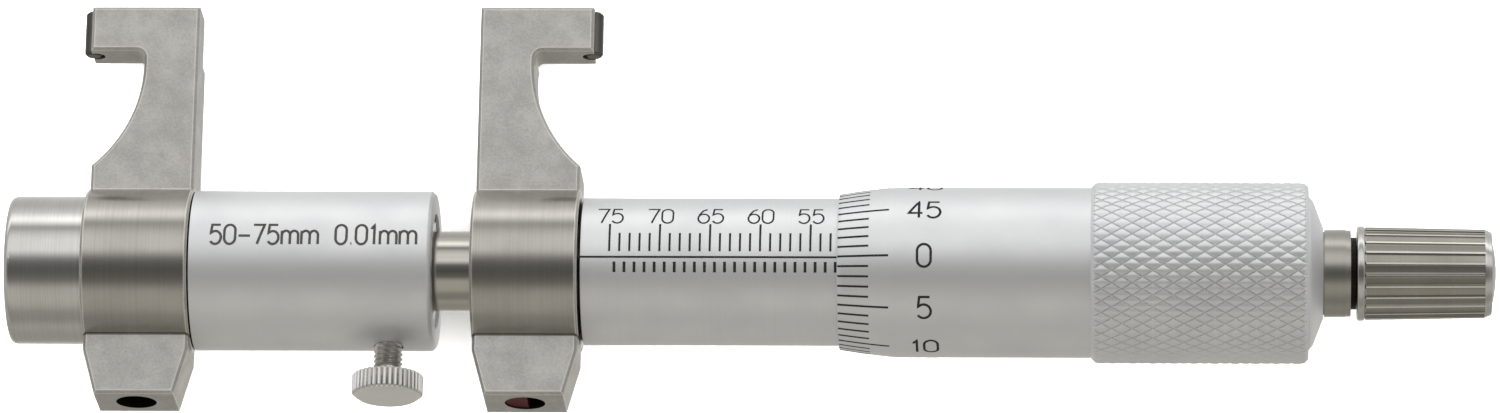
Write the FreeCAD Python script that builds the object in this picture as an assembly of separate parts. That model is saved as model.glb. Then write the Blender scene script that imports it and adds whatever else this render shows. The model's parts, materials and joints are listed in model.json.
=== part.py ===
import FreeCAD, Part

import math
import os

# Inside micrometer with two hooked jaws, 50 to 75 mm, 0.01 mm divisions, set to 52.5 mm.
# It is drawn upright first: X runs along the spindle from the end cap to the ratchet,
# Y points up the jaws and Z towards the reader of the scale. The origin is the middle
# of the end cap's outer face. Last, every piece is rolled about X, so that the jaws
# droop onto the table that the knurled thimble lies on. Millimetres.

# Measuring range and thread
reading = 52.5
scale_low = 50.0
scale_high = 75.0

# Fits
seat_clearance = 0.02
slide_clearance = 0.03
journal_clearance = 0.05
thread_clearance = 0.05
thimble_clearance = 0.10
end_float = 0.05
seam_gap = 0.1
parting_groove_width = 0.18
parting_groove_depth = 0.4

# Jaws
boss_radius = 8.2
boss_length = 10.7
boss_chamfer = 0.25
hub_radius = 6.0
plate_thickness = 6.2
plate_chamfer = 0.3
plate_back_inset = 0.1
plate_side_inset = 0.2
column_width = 5.5
throat_radius = 14.1
throat_wall = 0.7
hook_height = 27.05
hook_depth = 4.65
hook_corner_radius = 0.8
hook_thickness = 4.2
relief_drop = 0.4
moving_tip_overhang = 0.33
fixed_tip_overhang = 0.85
lug_reach = 13.8
lug_taper_start = 9.2
lug_half_width = 5.25
lug_end_half_width = 4.0
jaw_screw_radius = 2.0
jaw_screw_length = 4.6
jaw_screw_socket = 2.0
jaw_screw_socket_depth = 1.6
lacquer_thickness = 2.75

# Carbide contacts
contact_radius = 0.9
contact_protrusion = 0.85
contact_chamfer = 0.25
groove_depth = 1.25

# End cap and spindle thrust bearing
cap_length = 7.73
cap_radius = 7.4
cap_edge_radius = 0.65
cap_wall = 1.5
cap_pocket_radius = 3.5
bush_seat_depth = 3.6
bush_length = 1.8
journal_radius = 1.5
retainer_radius = 3.0
retainer_length = 1.5

# Carriage tube
tube_radius = 8.0
tube_body_length = 24.3
tube_edge_chamfer = 0.35
counterbore_radius = 5.75
counterbore_depth = 2.6
ring_nut_length = 1.05
ring_nut_recess = 0.25
ring_nut_slot_width = 1.6
ring_nut_slot_depth = 0.6
key_width = 2.0
key_length = 8.9
key_inner_height = 3.2
key_outer_height = 5.1

# Guide rod
rod_radius = 4.0
rod_bore_radius = 2.5
rod_start = 8.5
rod_end_chamfer = 0.4
hub_recess = 0.25
rod_spigot_length = 3.7
key_groove_run_out = 1.2

# Lock screw and pad, along -Y
lock_inset = 4.55
lock_thread_radius = 1.45
lock_tip_gap = 0.1
lock_pad_radius = 1.3
lock_pad_length = 1.3
lock_undercut_radius = 1.15
lock_undercut_length = 0.4
lock_head_start = 11.0
lock_head_radius = 3.56
lock_head_length = 1.85
lock_head_bevel = 0.5
lock_face_radius = 2.9
lock_knurl_teeth = 40
lock_knurl_depth = 0.17

# Sleeves
sleeve_radius = 7.365
sleeve_length = 40.0
sleeve_scale_margin = 3.2
inner_sleeve_radius = 5.72
inner_sleeve_stand_out = 0.25
inner_bore_radius = 3.45
nut_length = 13.2
collet_radius = 4.7
collet_length = 5.4
collet_slots = 3
collet_slot_width = 0.8
collet_slot_overrun = 2.0
take_up_nut_radius = 6.5
take_up_nut_length = 3.6
take_up_nut_slot_width = 1.5
take_up_nut_slot_depth = 1.0

# Spindle
spindle_body_radius = 2.2
spindle_thread_radius = 3.2
spindle_seat_radius = 2.98
spindle_tap_depth = 8.0

# Thimble
edge_lead = 0.15
edge_radius = 7.75
bevel_length = 6.0
thimble_radius = 8.5
knurl_offset = 25.2
knurl_length = 21.6
knurl_radius = 9.06
knurl_chamfer = 0.35
shoulder_radius = 7.6
shoulder_length = 0.25
cone_start_length = 0.35
cone_start_radius = 7.4
cone_length = 0.83
cone_end_radius = 4.8
thimble_end_wall = 4.65
seat_inset = 0.65

# Ratchet
ratchet_groove_radius = 4.15
ratchet_groove_length = 0.15
ratchet_collar_radius = 4.345
ratchet_collar_length = 2.1
ratchet_step_radius = 4.3
ratchet_step_length = 0.5
ratchet_neck_radius = 3.585
ratchet_neck_length = 0.55
ratchet_hub_radius = 2.5
ratchet_hub_flat = 2.0
ratchet_hub_length = 11.1
ratchet_shank_radius = 1.5
ratchet_pilot_radius = 2.9
knob_rim_length = 0.9
knob_rim_radius = 4.727
knob_rim_chamfer = 0.25
knob_flute_length = 11.8
knob_start_radius = 4.62
knob_end_radius = 4.42
knob_bevel_length = 0.75
knob_face_radius = 4.1
knob_flutes = 24
flute_depth = 0.25
flute_land = 0.26
knob_bearing_length = 2.7
knob_cavity_radius = 3.4
pawl_length = 1.3
pawl_teeth = 12
pawl_tooth_height = 0.35
spring_wire_radius = 0.25
spring_wire_sides = 8
spring_turns = 5
ratchet_screw_dome = 0.43
ratchet_screw_slot_width = 0.8
ratchet_screw_slot_depth = 0.7
ratchet_screw_radius = 1.0
ratchet_screw_length = 4.5

# Places along the spindle
moving_tip_x = cap_length - moving_tip_overhang
shoulder_x = cap_length + boss_length
tube_end_x = shoulder_x + tube_body_length
fixed_tip_x = moving_tip_x + reading - 2.0 * contact_protrusion
fixed_end_x = fixed_tip_x - fixed_tip_overhang
fixed_start_x = fixed_end_x - boss_length
hub_start_x = fixed_start_x + hub_recess
hub_end_x = fixed_end_x - end_float
sleeve_start_x = fixed_end_x + seam_gap
scale_high_x = fixed_end_x + sleeve_scale_margin
thimble_edge_x = scale_high_x + scale_high - reading + edge_lead
inner_sleeve_end_x = sleeve_start_x + sleeve_length + inner_sleeve_stand_out
collet_end_x = inner_sleeve_end_x + collet_length
knurl_start_x = thimble_edge_x + knurl_offset
knurl_end_x = knurl_start_x + knurl_length
cone_x = knurl_end_x + shoulder_length + cone_start_length
thimble_end_x = cone_x + cone_length
end_wall_x = thimble_end_x - thimble_end_wall
seat_end_x = thimble_end_x - seat_inset
bush_end_x = bush_seat_depth + bush_length
spindle_shoulder_x = bush_end_x + end_float
spigot_start_x = bush_end_x + end_float
thread_start_x = collet_end_x - nut_length - (reading - scale_low)
collar_x = thimble_end_x + ratchet_groove_length
neck_x = collar_x + ratchet_collar_length + ratchet_step_length
knob_x = neck_x + ratchet_neck_length + end_float
hub_tip_x = knob_x + ratchet_hub_length
cavity_x = knob_x + knob_bearing_length
flute_x = knob_x + knob_rim_length
bevel_x = flute_x + knob_flute_length
knob_end_x = bevel_x + knob_bevel_length
lock_x = tube_end_x - lock_inset
counterbore_x = tube_end_x - counterbore_depth

# Radii that follow from a fit
rod_guide_radius = rod_radius + slide_clearance
bore_radius = hub_radius + seat_clearance
cap_bore_radius = hub_radius + thread_clearance
nut_bore_radius = spindle_thread_radius + thread_clearance
thimble_bore_radius = sleeve_radius + thimble_clearance
thimble_seat_radius = spindle_seat_radius + seat_clearance
knob_bore_radius = ratchet_hub_radius + journal_clearance
lock_hole_radius = lock_thread_radius + thread_clearance
contact_groove_radius = contact_radius + slide_clearance

# The jaw's lower rear corner and the knurl touch one table
relief_height = hook_height - hook_depth - relief_drop
half_plate = plate_thickness / 2.0
corner_reach = math.hypot(relief_height, half_plate)
droop = math.asin(knurl_radius / corner_reach) - math.atan2(half_plate, relief_height)

ORIGIN = FreeCAD.Vector(0, 0, 0)
ALONG = FreeCAD.Vector(1, 0, 0)


def turned(profile):
    """A solid of revolution about the spindle axis, from (x, radius) corners in order."""
    corners = [FreeCAD.Vector(x, radius, 0) for x, radius in profile]
    face = Part.Face(Part.makePolygon(corners + corners[:1]))
    return face.revolve(ORIGIN, ALONG, 360)


def rod(start, end, radius):
    return Part.makeCylinder(radius, end - start, FreeCAD.Vector(start, 0, 0), ALONG)


def tube(start, end, radius, bore):
    return turned([(start, bore), (end, bore), (end, radius), (start, radius)])


def block(x0, x1, y0, y1, z0, z1):
    return Part.makeBox(x1 - x0, y1 - y0, z1 - z0, FreeCAD.Vector(x0, y0, z0))


def is_rim(edge, x, radius):
    """Whether an edge is the circle about the spindle axis at this x and radius."""
    return (
        isinstance(edge.Curve, Part.Circle)
        and abs(edge.Curve.Center.x - x) < 1e-6
        and abs(edge.Curve.Radius - radius) < 1e-6
    )


def around(shape, count, first=0.0):
    """Copies of a shape spaced evenly about the spindle axis."""
    copies = []
    for i in range(count):
        copy = shape.copy()
        copy.rotate(ORIGIN, ALONG, first + 360.0 * i / count)
        copies.append(copy)
    return copies


def point(x, y):
    return FreeCAD.Vector(x, y, 0)


def arm_outline(tip_overhang):
    """The hooked arm in the jaw's plane: x = 0 is the boss face on the tip's side."""
    back = boss_length - plate_back_inset
    wall = back - column_width
    underside = hook_height - hook_depth
    corner = point(wall - hook_corner_radius, underside - hook_corner_radius)
    corner_middle = corner + point(1, 1).normalize() * hook_corner_radius
    throat = point(wall - throat_radius, corner.y - throat_wall)
    reach = plate_side_inset - throat.x
    foot = throat.y - math.sqrt(throat_radius**2 - reach**2)
    half_turn = math.atan2(foot - throat.y, reach) / 2.0
    throat_middle = throat + point(math.cos(half_turn), math.sin(half_turn)) * throat_radius
    top = [
        point(plate_side_inset, foot),
        point(plate_side_inset, 0),
        point(back, 0),
        point(back, hook_height),
        point(-tip_overhang, hook_height),
        point(-tip_overhang, underside),
        point(corner.x, underside),
    ]
    edges = [Part.makeLine(start, end) for start, end in zip(top, top[1:])]
    edges.append(Part.Arc(top[-1], corner_middle, point(wall, corner.y)).toShape())
    edges.append(Part.makeLine(point(wall, corner.y), point(wall, throat.y)))
    edges.append(Part.Arc(point(wall, throat.y), throat_middle, top[0]).toShape())
    return Part.Wire(edges)


def lug_outline():
    """The tapered lug below the boss, which holds the jaw's grub screw."""
    middle = boss_length / 2.0
    corners = [
        point(middle - lug_half_width, 0),
        point(middle - lug_half_width, -lug_taper_start),
        point(middle - lug_end_half_width, -lug_reach),
        point(middle + lug_end_half_width, -lug_reach),
        point(middle + lug_half_width, -lug_taper_start),
        point(middle + lug_half_width, 0),
    ]
    return Part.makePolygon(corners + corners[:1])


def plate(outline):
    """A plate as thick as the jaw, with its front edges chamfered."""
    face = Part.Face(outline)
    face.translate(FreeCAD.Vector(0, 0, -half_plate))
    solid = face.extrude(FreeCAD.Vector(0, 0, plate_thickness))
    front = [edge for edge in solid.Edges if edge.BoundBox.ZMin > half_plate - 1e-6]
    return solid.makeChamfer(plate_chamfer, front)


def contact_seat(tip_overhang):
    """Middle of the contact, which lies upright across the tip's face."""
    x = -tip_overhang - contact_protrusion + contact_radius
    return x, half_plate - hook_thickness / 2.0


def jaw(tip_overhang):
    """Boss, hooked arm and lug, with the bore, the contact's groove and the screw's hole."""
    far = boss_length + hook_height
    arm = plate(arm_outline(tip_overhang)).cut(
        block(-far, far, relief_height, far, -far, half_plate - hook_thickness)
    )
    underside = hook_height - hook_depth
    groove_x, groove_z = contact_seat(tip_overhang)
    groove_back = -tip_overhang + groove_depth - contact_groove_radius
    groove = Part.makeCylinder(
        contact_groove_radius,
        2.0 * hook_depth,
        FreeCAD.Vector(groove_back, underside - hook_depth / 2.0, groove_z),
        FreeCAD.Vector(0, 1, 0),
    )
    groove = groove.fuse(
        block(
            -tip_overhang - hook_depth,
            groove_back,
            underside - hook_depth / 2.0,
            underside + 1.5 * hook_depth,
            groove_z - contact_groove_radius,
            groove_z + contact_groove_radius,
        )
    )
    boss = turned(
        [
            (0, 0),
            (boss_length, 0),
            (boss_length, boss_radius - boss_chamfer),
            (boss_length - boss_chamfer, boss_radius),
            (boss_chamfer, boss_radius),
            (0, boss_radius - boss_chamfer),
        ]
    )
    hole = Part.makeCylinder(
        jaw_screw_radius,
        lug_reach,
        FreeCAD.Vector(boss_length / 2.0, 0, 0),
        FreeCAD.Vector(0, -1, 0),
    )
    shape = boss.fuse([arm.cut(groove), plate(lug_outline())])
    shape = shape.cut([rod(-far, far, bore_radius), hole])
    return shape.removeSplitter()


def contact(tip_overhang):
    """Carbide pin, set upright in the groove of the tip."""
    x, z = contact_seat(tip_overhang)
    start = hook_height - hook_depth
    pin = Part.makeCylinder(
        contact_radius, hook_depth, FreeCAD.Vector(x, start, z), FreeCAD.Vector(0, 1, 0)
    )
    rims = [edge for edge in pin.Edges if isinstance(edge.Curve, Part.Circle)]
    return pin.makeChamfer(contact_chamfer, rims)


def jaw_screw():
    """Grub screw in the lug: it bears on what the jaw's bore holds."""
    start = hub_radius + end_float
    radius = jaw_screw_radius - thread_clearance
    screw = Part.makeCylinder(
        radius, jaw_screw_length, FreeCAD.Vector(0, -start, 0), FreeCAD.Vector(0, -1, 0)
    )
    reach = jaw_screw_socket / 2.0 / math.cos(math.radians(30))
    corners = []
    for i in range(6):
        angle = math.radians(60 * i)
        corners.append(
            FreeCAD.Vector(
                reach * math.cos(angle), -start - jaw_screw_length, reach * math.sin(angle)
            )
        )
    hexagon = Part.Face(Part.makePolygon(corners + corners[:1]))
    socket = hexagon.extrude(FreeCAD.Vector(0, jaw_screw_socket_depth, 0))
    screw = screw.cut(socket)
    screw.translate(FreeCAD.Vector(boss_length / 2.0, 0, 0))
    return screw


def lacquer():
    """Sealing lacquer over one half of the fixed jaw's screw."""
    start = hub_radius + end_float + jaw_screw_length
    radius = jaw_screw_radius - slide_clearance
    drop = Part.makeCylinder(
        radius, lacquer_thickness, FreeCAD.Vector(0, -start, 0), FreeCAD.Vector(0, -1, 0), 180
    )
    drop.translate(FreeCAD.Vector(boss_length / 2.0, 0, 0))
    return drop


def on_fixed_side(shape):
    """A jaw piece turned to face the other way, on the fixed jaw's place."""
    turned_over = shape.mirror(ORIGIN, ALONG)
    turned_over.translate(FreeCAD.Vector(fixed_end_x, 0, 0))
    return turned_over


def on_moving_side(shape):
    moved = shape.copy()
    moved.translate(FreeCAD.Vector(cap_length, 0, 0))
    return moved


def end_cap():
    cap = turned(
        [
            (0, 0),
            (cap_wall, 0),
            (cap_wall, cap_pocket_radius),
            (bush_seat_depth, cap_pocket_radius),
            (bush_seat_depth, cap_bore_radius),
            (cap_length, cap_bore_radius),
            (cap_length, cap_radius),
            (0, cap_radius),
        ]
    )
    edges = [edge for edge in cap.Edges if is_rim(edge, 0, cap_radius)]
    return cap.makeFillet(cap_edge_radius, edges)


def thrust_bush():
    return tube(bush_seat_depth, bush_end_x, hub_radius, journal_radius + journal_clearance)


def spindle_retainer():
    end = bush_seat_depth - end_float
    return tube(end - retainer_length, end, retainer_radius, journal_radius + seat_clearance)


def carriage_tube():
    """Spigot for the jaw and cap, barrel, bore for the rod, key slot and lock screw hole."""
    groove_end = shoulder_x + parting_groove_width
    body = turned(
        [
            (spigot_start_x, rod_guide_radius),
            (counterbore_x, rod_guide_radius),
            (counterbore_x, counterbore_radius),
            (tube_end_x, counterbore_radius),
            (tube_end_x, tube_radius - tube_edge_chamfer),
            (tube_end_x - tube_edge_chamfer, tube_radius),
            (groove_end, tube_radius),
            (groove_end, tube_radius - parting_groove_depth),
            (shoulder_x, tube_radius - parting_groove_depth),
            (shoulder_x, hub_radius),
            (spigot_start_x, hub_radius),
        ]
    )
    half_slot = key_width / 2.0 + slide_clearance
    slot = block(
        counterbore_x - key_length - seam_gap,
        counterbore_x + seam_gap,
        0,
        key_outer_height + slide_clearance,
        -half_slot,
        half_slot,
    )
    hole = Part.makeCylinder(
        lock_hole_radius,
        2.0 * tube_radius,
        FreeCAD.Vector(lock_x, 0, 0),
        FreeCAD.Vector(0, -1, 0),
    )
    return body.cut([slot.cut(rod(0, tube_end_x, rod_guide_radius / 2.0)), hole])


def guide_key():
    start = counterbore_x - key_length
    half = key_width / 2.0
    return block(start, counterbore_x, key_inner_height, key_outer_height, -half, half)


def rod_wiper():
    start = counterbore_x
    end = tube_end_x - ring_nut_recess - ring_nut_length
    return tube(start, end, counterbore_radius - slide_clearance, rod_guide_radius)


def tube_ring_nut():
    end = tube_end_x - ring_nut_recess
    radius = counterbore_radius - thread_clearance
    ring = tube(end - ring_nut_length, end, radius, rod_guide_radius + seam_gap)
    half = ring_nut_slot_width / 2.0
    slot = block(end - ring_nut_slot_depth, end + seam_gap, -tube_radius, tube_radius, -half, half)
    return ring.cut(slot)


def guide_rod():
    """Rod that the tube slides on, hub in the fixed jaw and spigot in the inner sleeve."""
    body = turned(
        [
            (rod_start, rod_bore_radius),
            (hub_end_x + rod_spigot_length, rod_bore_radius),
            (hub_end_x + rod_spigot_length, rod_radius),
            (hub_end_x, rod_radius),
            (hub_end_x, hub_radius),
            (hub_start_x, hub_radius),
            (hub_start_x, rod_radius),
            (rod_start + rod_end_chamfer, rod_radius),
            (rod_start, rod_radius - rod_end_chamfer),
        ]
    )
    half_groove = key_width / 2.0 + slide_clearance
    groove = block(
        rod_start - seam_gap,
        hub_start_x - key_groove_run_out,
        key_inner_height - slide_clearance,
        rod_radius + seam_gap,
        -half_groove,
        half_groove,
    )
    return body.cut(groove)


def inner_sleeve():
    """Threaded for the spindle at its slotted end, where the take-up nut closes it."""
    spigot_end = hub_end_x + rod_spigot_length + seam_gap
    nut_start = collet_end_x - nut_length
    body = turned(
        [
            (hub_end_x, rod_radius + seat_clearance),
            (spigot_end, rod_radius + seat_clearance),
            (spigot_end, inner_bore_radius),
            (nut_start, inner_bore_radius),
            (nut_start, nut_bore_radius),
            (collet_end_x, nut_bore_radius),
            (collet_end_x, collet_radius),
            (inner_sleeve_end_x, collet_radius),
            (inner_sleeve_end_x, inner_sleeve_radius),
            (hub_end_x, inner_sleeve_radius),
        ]
    )
    half = collet_slot_width / 2.0
    slot = block(
        inner_sleeve_end_x - collet_slot_overrun,
        collet_end_x + seam_gap,
        0,
        inner_sleeve_radius + seam_gap,
        -half,
        half,
    )
    return body.cut(around(slot, collet_slots))


def sleeve():
    bore = inner_sleeve_radius + slide_clearance
    end = sleeve_start_x + sleeve_length
    groove_end = sleeve_start_x + parting_groove_width
    groove_radius = sleeve_radius - parting_groove_depth
    return turned(
        [
            (sleeve_start_x, bore),
            (end, bore),
            (end, sleeve_radius),
            (groove_end, sleeve_radius),
            (groove_end, groove_radius),
            (sleeve_start_x, groove_radius),
        ]
    )


def take_up_nut():
    start = inner_sleeve_end_x + (collet_length - take_up_nut_length) / 2.0
    end = start + take_up_nut_length
    nut = tube(start, end, take_up_nut_radius, collet_radius + seat_clearance)
    half = take_up_nut_slot_width / 2.0
    far = 2.0 * take_up_nut_radius
    slot = block(end - take_up_nut_slot_depth, end + seam_gap, -far, far, -half, half)
    return nut.cut(slot)


def spindle():
    tip_x = bush_seat_depth - end_float - retainer_length - seam_gap
    seat_start = end_wall_x - seam_gap
    body = turned(
        [
            (tip_x, 0),
            (seat_end_x, 0),
            (seat_end_x, spindle_seat_radius),
            (seat_start, spindle_seat_radius),
            (seat_start, spindle_thread_radius),
            (thread_start_x, spindle_thread_radius),
            (thread_start_x, spindle_body_radius),
            (spindle_shoulder_x, spindle_body_radius),
            (spindle_shoulder_x, journal_radius),
            (tip_x, journal_radius),
        ]
    )
    tapped = rod(seat_end_x - spindle_tap_depth, seat_end_x, ratchet_shank_radius + thread_clearance)
    return body.cut(tapped)


def thimble():
    """Bevelled edge, plain barrel, raised band for the knurl and the cone to the ratchet."""
    return turned(
        [
            (thimble_edge_x, thimble_bore_radius),
            (end_wall_x, thimble_bore_radius),
            (end_wall_x, thimble_seat_radius),
            (thimble_end_x, thimble_seat_radius),
            (thimble_end_x, cone_end_radius),
            (cone_x, cone_start_radius),
            (cone_x - cone_start_length, shoulder_radius),
            (knurl_end_x, shoulder_radius),
            (knurl_end_x, knurl_radius - knurl_chamfer),
            (knurl_end_x - knurl_chamfer, knurl_radius),
            (knurl_start_x + knurl_chamfer, knurl_radius),
            (knurl_start_x, knurl_radius - knurl_chamfer),
            (knurl_start_x, thimble_radius),
            (thimble_edge_x + bevel_length, thimble_radius),
            (thimble_edge_x, edge_radius),
        ]
    )


def ratchet_body():
    """Collar and neck, with the hub that carries the knob and a shank in the spindle."""
    step_x = collar_x + ratchet_collar_length
    body = turned(
        [
            (seat_end_x - spindle_tap_depth + seam_gap, 0),
            (hub_tip_x, 0),
            (hub_tip_x, ratchet_hub_radius),
            (neck_x + ratchet_neck_length, ratchet_hub_radius),
            (neck_x + ratchet_neck_length, ratchet_neck_radius),
            (neck_x, ratchet_neck_radius),
            (neck_x, ratchet_step_radius),
            (step_x, ratchet_step_radius),
            (step_x, ratchet_collar_radius),
            (collar_x, ratchet_collar_radius),
            (collar_x, ratchet_groove_radius),
            (thimble_end_x, ratchet_groove_radius),
            (thimble_end_x, ratchet_pilot_radius),
            (seat_end_x, ratchet_pilot_radius),
            (seat_end_x, ratchet_shank_radius),
            (seat_end_x - spindle_tap_depth + seam_gap, ratchet_shank_radius),
        ]
    )
    wide = 2.0 * ratchet_hub_radius
    end = hub_tip_x + seam_gap
    flats = [
        block(cavity_x, end, ratchet_hub_flat, wide, -wide, wide),
        block(cavity_x, end, -wide, -ratchet_hub_flat, -wide, wide),
    ]
    tap_x = hub_tip_x - ratchet_screw_length - seam_gap
    tapped = rod(tap_x, hub_tip_x, ratchet_screw_radius + thread_clearance)
    return body.cut(flats + [tapped])


def tooth(x, height, inner, outer, half_width):
    """A wedge that stands out of a ring's face towards the thimble."""
    corners = [
        FreeCAD.Vector(x, inner, -half_width),
        FreeCAD.Vector(x, inner, half_width),
        FreeCAD.Vector(x - height, inner, 0),
    ]
    face = Part.Face(Part.makePolygon(corners + corners[:1]))
    return face.extrude(FreeCAD.Vector(0, outer - inner, 0))


def tooth_half_width():
    return math.pi * ratchet_hub_radius / pawl_teeth * 0.7


def ratchet_pawl():
    """Toothed ring that slides on the hub's flats and is pushed into the knob's teeth."""
    start = cavity_x + end_float
    inner = ratchet_hub_radius + journal_clearance
    outer = knob_cavity_radius - thimble_clearance
    ring = rod(start, start + pawl_length, outer)
    opening = rod(start, start + pawl_length, inner).common(
        block(
            start,
            start + pawl_length,
            -ratchet_hub_flat - journal_clearance,
            ratchet_hub_flat + journal_clearance,
            -inner,
            inner,
        )
    )
    ring = ring.cut(opening)
    wedge = tooth(start, pawl_tooth_height, inner, outer - seam_gap, tooth_half_width())
    teeth = around(wedge, pawl_teeth)
    return ring.fuse(teeth)


def ratchet_spring():
    """Wire wound between the pawl and the head of the ratchet screw, drawn eight-sided."""
    start = cavity_x + 2.0 * end_float + pawl_length + spring_wire_radius
    end = hub_tip_x - end_float - spring_wire_radius
    mean = ratchet_hub_radius + 2.0 * journal_clearance + spring_wire_radius
    helix = Part.makeHelix((end - start) / spring_turns, end - start, mean)
    corners = []
    for i in range(spring_wire_sides):
        angle = 2.0 * math.pi * (i + 0.5) / spring_wire_sides
        reach = spring_wire_radius * math.cos(angle)
        rise = spring_wire_radius * math.sin(angle)
        corners.append(FreeCAD.Vector(mean + reach, 0, rise))
    section = Part.makePolygon(corners + corners[:1])
    coil = Part.Wire(helix.Edges).makePipeShell([section], True, True)
    coil.rotate(ORIGIN, FreeCAD.Vector(0, 1, 0), 90)
    coil.translate(FreeCAD.Vector(start, 0, 0))
    return coil


def ratchet_screw():
    """Slotted screw that closes the knob and holds the spring."""
    radius = knob_cavity_radius - journal_clearance - slide_clearance
    dome_radius = (radius**2 + ratchet_screw_dome**2) / (2.0 * ratchet_screw_dome)
    top = knob_end_x + ratchet_screw_dome
    ball = Part.makeSphere(dome_radius, FreeCAD.Vector(top - dome_radius, 0, 0))
    head = rod(hub_tip_x, top, radius).common(ball)
    shank = rod(hub_tip_x - ratchet_screw_length, hub_tip_x + seam_gap, ratchet_screw_radius)
    half = ratchet_screw_slot_width / 2.0
    slot = block(top - ratchet_screw_slot_depth, top + seam_gap, -radius, radius, -half, half)
    return head.fuse(shank).cut(slot).removeSplitter()


def ratchet_knob():
    """Fluted knob: a rim, tapering flutes, a bevelled end and the pawl's teeth inside."""
    rim = rod(knob_x, flute_x, knob_rim_radius)
    rim = rim.makeChamfer(
        knob_rim_chamfer,
        [edge for edge in rim.Edges if isinstance(edge.Curve, Part.Circle)],
    )
    barrel = turned(
        [
            (flute_x - knob_rim_length / 2.0, 0),
            (knob_end_x, 0),
            (knob_end_x, knob_face_radius),
            (bevel_x, knob_end_radius),
            (flute_x - knob_rim_length / 2.0, knob_start_radius),
        ]
    )
    chord = 2.0 * math.pi * knob_end_radius / knob_flutes - flute_land
    cutter_radius = chord**2 / (8.0 * flute_depth) + flute_depth / 2.0
    lift = cutter_radius - flute_depth
    start = FreeCAD.Vector(flute_x - knob_rim_length, knob_start_radius + lift, 0)
    finish = FreeCAD.Vector(knob_end_x + knob_bevel_length, knob_end_radius + lift, 0)
    run = finish - start
    cutter = Part.makeCylinder(cutter_radius, run.Length, start, run)
    barrel = barrel.cut(around(cutter, knob_flutes, 180.0 / knob_flutes))
    shell = barrel.fuse(rim)
    wedge = tooth(
        cavity_x + end_float,
        pawl_tooth_height + end_float,
        knob_bore_radius - journal_clearance,
        knob_cavity_radius,
        tooth_half_width() + end_float,
    )
    hollow = [
        rod(knob_x - seam_gap, knob_end_x, knob_bore_radius),
        rod(cavity_x, knob_end_x + seam_gap, knob_cavity_radius),
    ]
    return shell.cut(hollow + around(wedge, pawl_teeth))


def towards_lock(shape):
    """A piece drawn along X, stood on the lock screw's axis, which points down -Y."""
    shape.rotate(ORIGIN, FreeCAD.Vector(0, 0, 1), -90)
    shape.translate(FreeCAD.Vector(lock_x, 0, 0))
    return shape


def lock_pad():
    start = rod_radius + lock_tip_gap
    return towards_lock(rod(start, start + lock_pad_length, lock_pad_radius))


def lock_screw():
    """Thumb screw with a straight-knurled head, drawn from the tip outwards."""
    tip = rod_radius + lock_tip_gap + lock_pad_length + seat_clearance
    neck = lock_head_start - lock_undercut_length
    side_end = lock_head_start + lock_head_length
    face = side_end + lock_head_bevel
    stem = turned(
        [
            (tip, 0),
            (lock_head_start + seam_gap, 0),
            (lock_head_start + seam_gap, lock_undercut_radius),
            (neck, lock_undercut_radius),
            (neck, lock_thread_radius),
            (tip, lock_thread_radius),
        ]
    )
    corners = []
    for i in range(2 * lock_knurl_teeth):
        angle = math.pi * i / lock_knurl_teeth
        radius = lock_head_radius - lock_knurl_depth * (i % 2)
        corners.append(
            FreeCAD.Vector(lock_head_start, radius * math.cos(angle), radius * math.sin(angle))
        )
    star = Part.Face(Part.makePolygon(corners + corners[:1]))
    head = star.extrude(ALONG * (face - lock_head_start))
    limit = turned(
        [
            (lock_head_start, 0),
            (face, 0),
            (face, lock_face_radius),
            (side_end, lock_head_radius),
            (lock_head_start, lock_head_radius),
        ]
    )
    return towards_lock(head.common(limit).fuse(stem))


pieces = {
    "fixed_jaw": on_fixed_side(jaw(fixed_tip_overhang)),
    "fixed_contact": on_fixed_side(contact(fixed_tip_overhang)),
    "fixed_jaw_screw": on_fixed_side(jaw_screw()),
    "screw_lacquer": on_fixed_side(lacquer()),
    "guide_rod": guide_rod(),
    "inner_sleeve": inner_sleeve(),
    "graduated_sleeve": sleeve(),
    "take_up_nut": take_up_nut(),
    "moving_jaw": on_moving_side(jaw(moving_tip_overhang)),
    "moving_contact": on_moving_side(contact(moving_tip_overhang)),
    "moving_jaw_screw": on_moving_side(jaw_screw()),
    "carriage_tube": carriage_tube(),
    "end_cap": end_cap(),
    "thrust_bush": thrust_bush(),
    "tube_ring_nut": tube_ring_nut(),
    "rod_wiper": rod_wiper(),
    "guide_key": guide_key(),
    "spindle": spindle(),
    "spindle_retainer": spindle_retainer(),
    "thimble": thimble(),
    "ratchet_body": ratchet_body(),
    "ratchet_pawl": ratchet_pawl(),
    "ratchet_spring": ratchet_spring(),
    "ratchet_screw": ratchet_screw(),
    "ratchet_knob": ratchet_knob(),
    "lock_pad": lock_pad(),
    "lock_screw": lock_screw(),
}

os.makedirs("parts", exist_ok=True)
for name, shape in pieces.items():
    shape.rotate(ORIGIN, ALONG, -math.degrees(droop))
    if shape.ShapeType == "Compound" and len(shape.Solids) == 1:
        shape = shape.Solids[0]
    shape.exportStep(f"parts/{name}.step")
    print(name, len(shape.Solids), round(shape.Volume, 2), shape.isValid())
print("droop", round(math.degrees(droop), 3), "table z", round(-knurl_radius, 3))
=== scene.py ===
"""Inside micrometer, 50 to 75 mm: its finishes, scales, knurl, thread and studio.

X runs along the spindle from the end cap to the ratchet, +Y towards the jaws' tips and +Z up
from the table. Sizes are in millimetres until a mesh is built, because the frame is in metres.
"""

import json
import logging
import math
from collections.abc import Callable, Sequence
from dataclasses import dataclass, field
from enum import Enum
from functools import cache

import bpy
from bpy.types import Material, Node, NodeSocket, NodeTree, Object
from mathutils import Matrix, Vector


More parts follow.
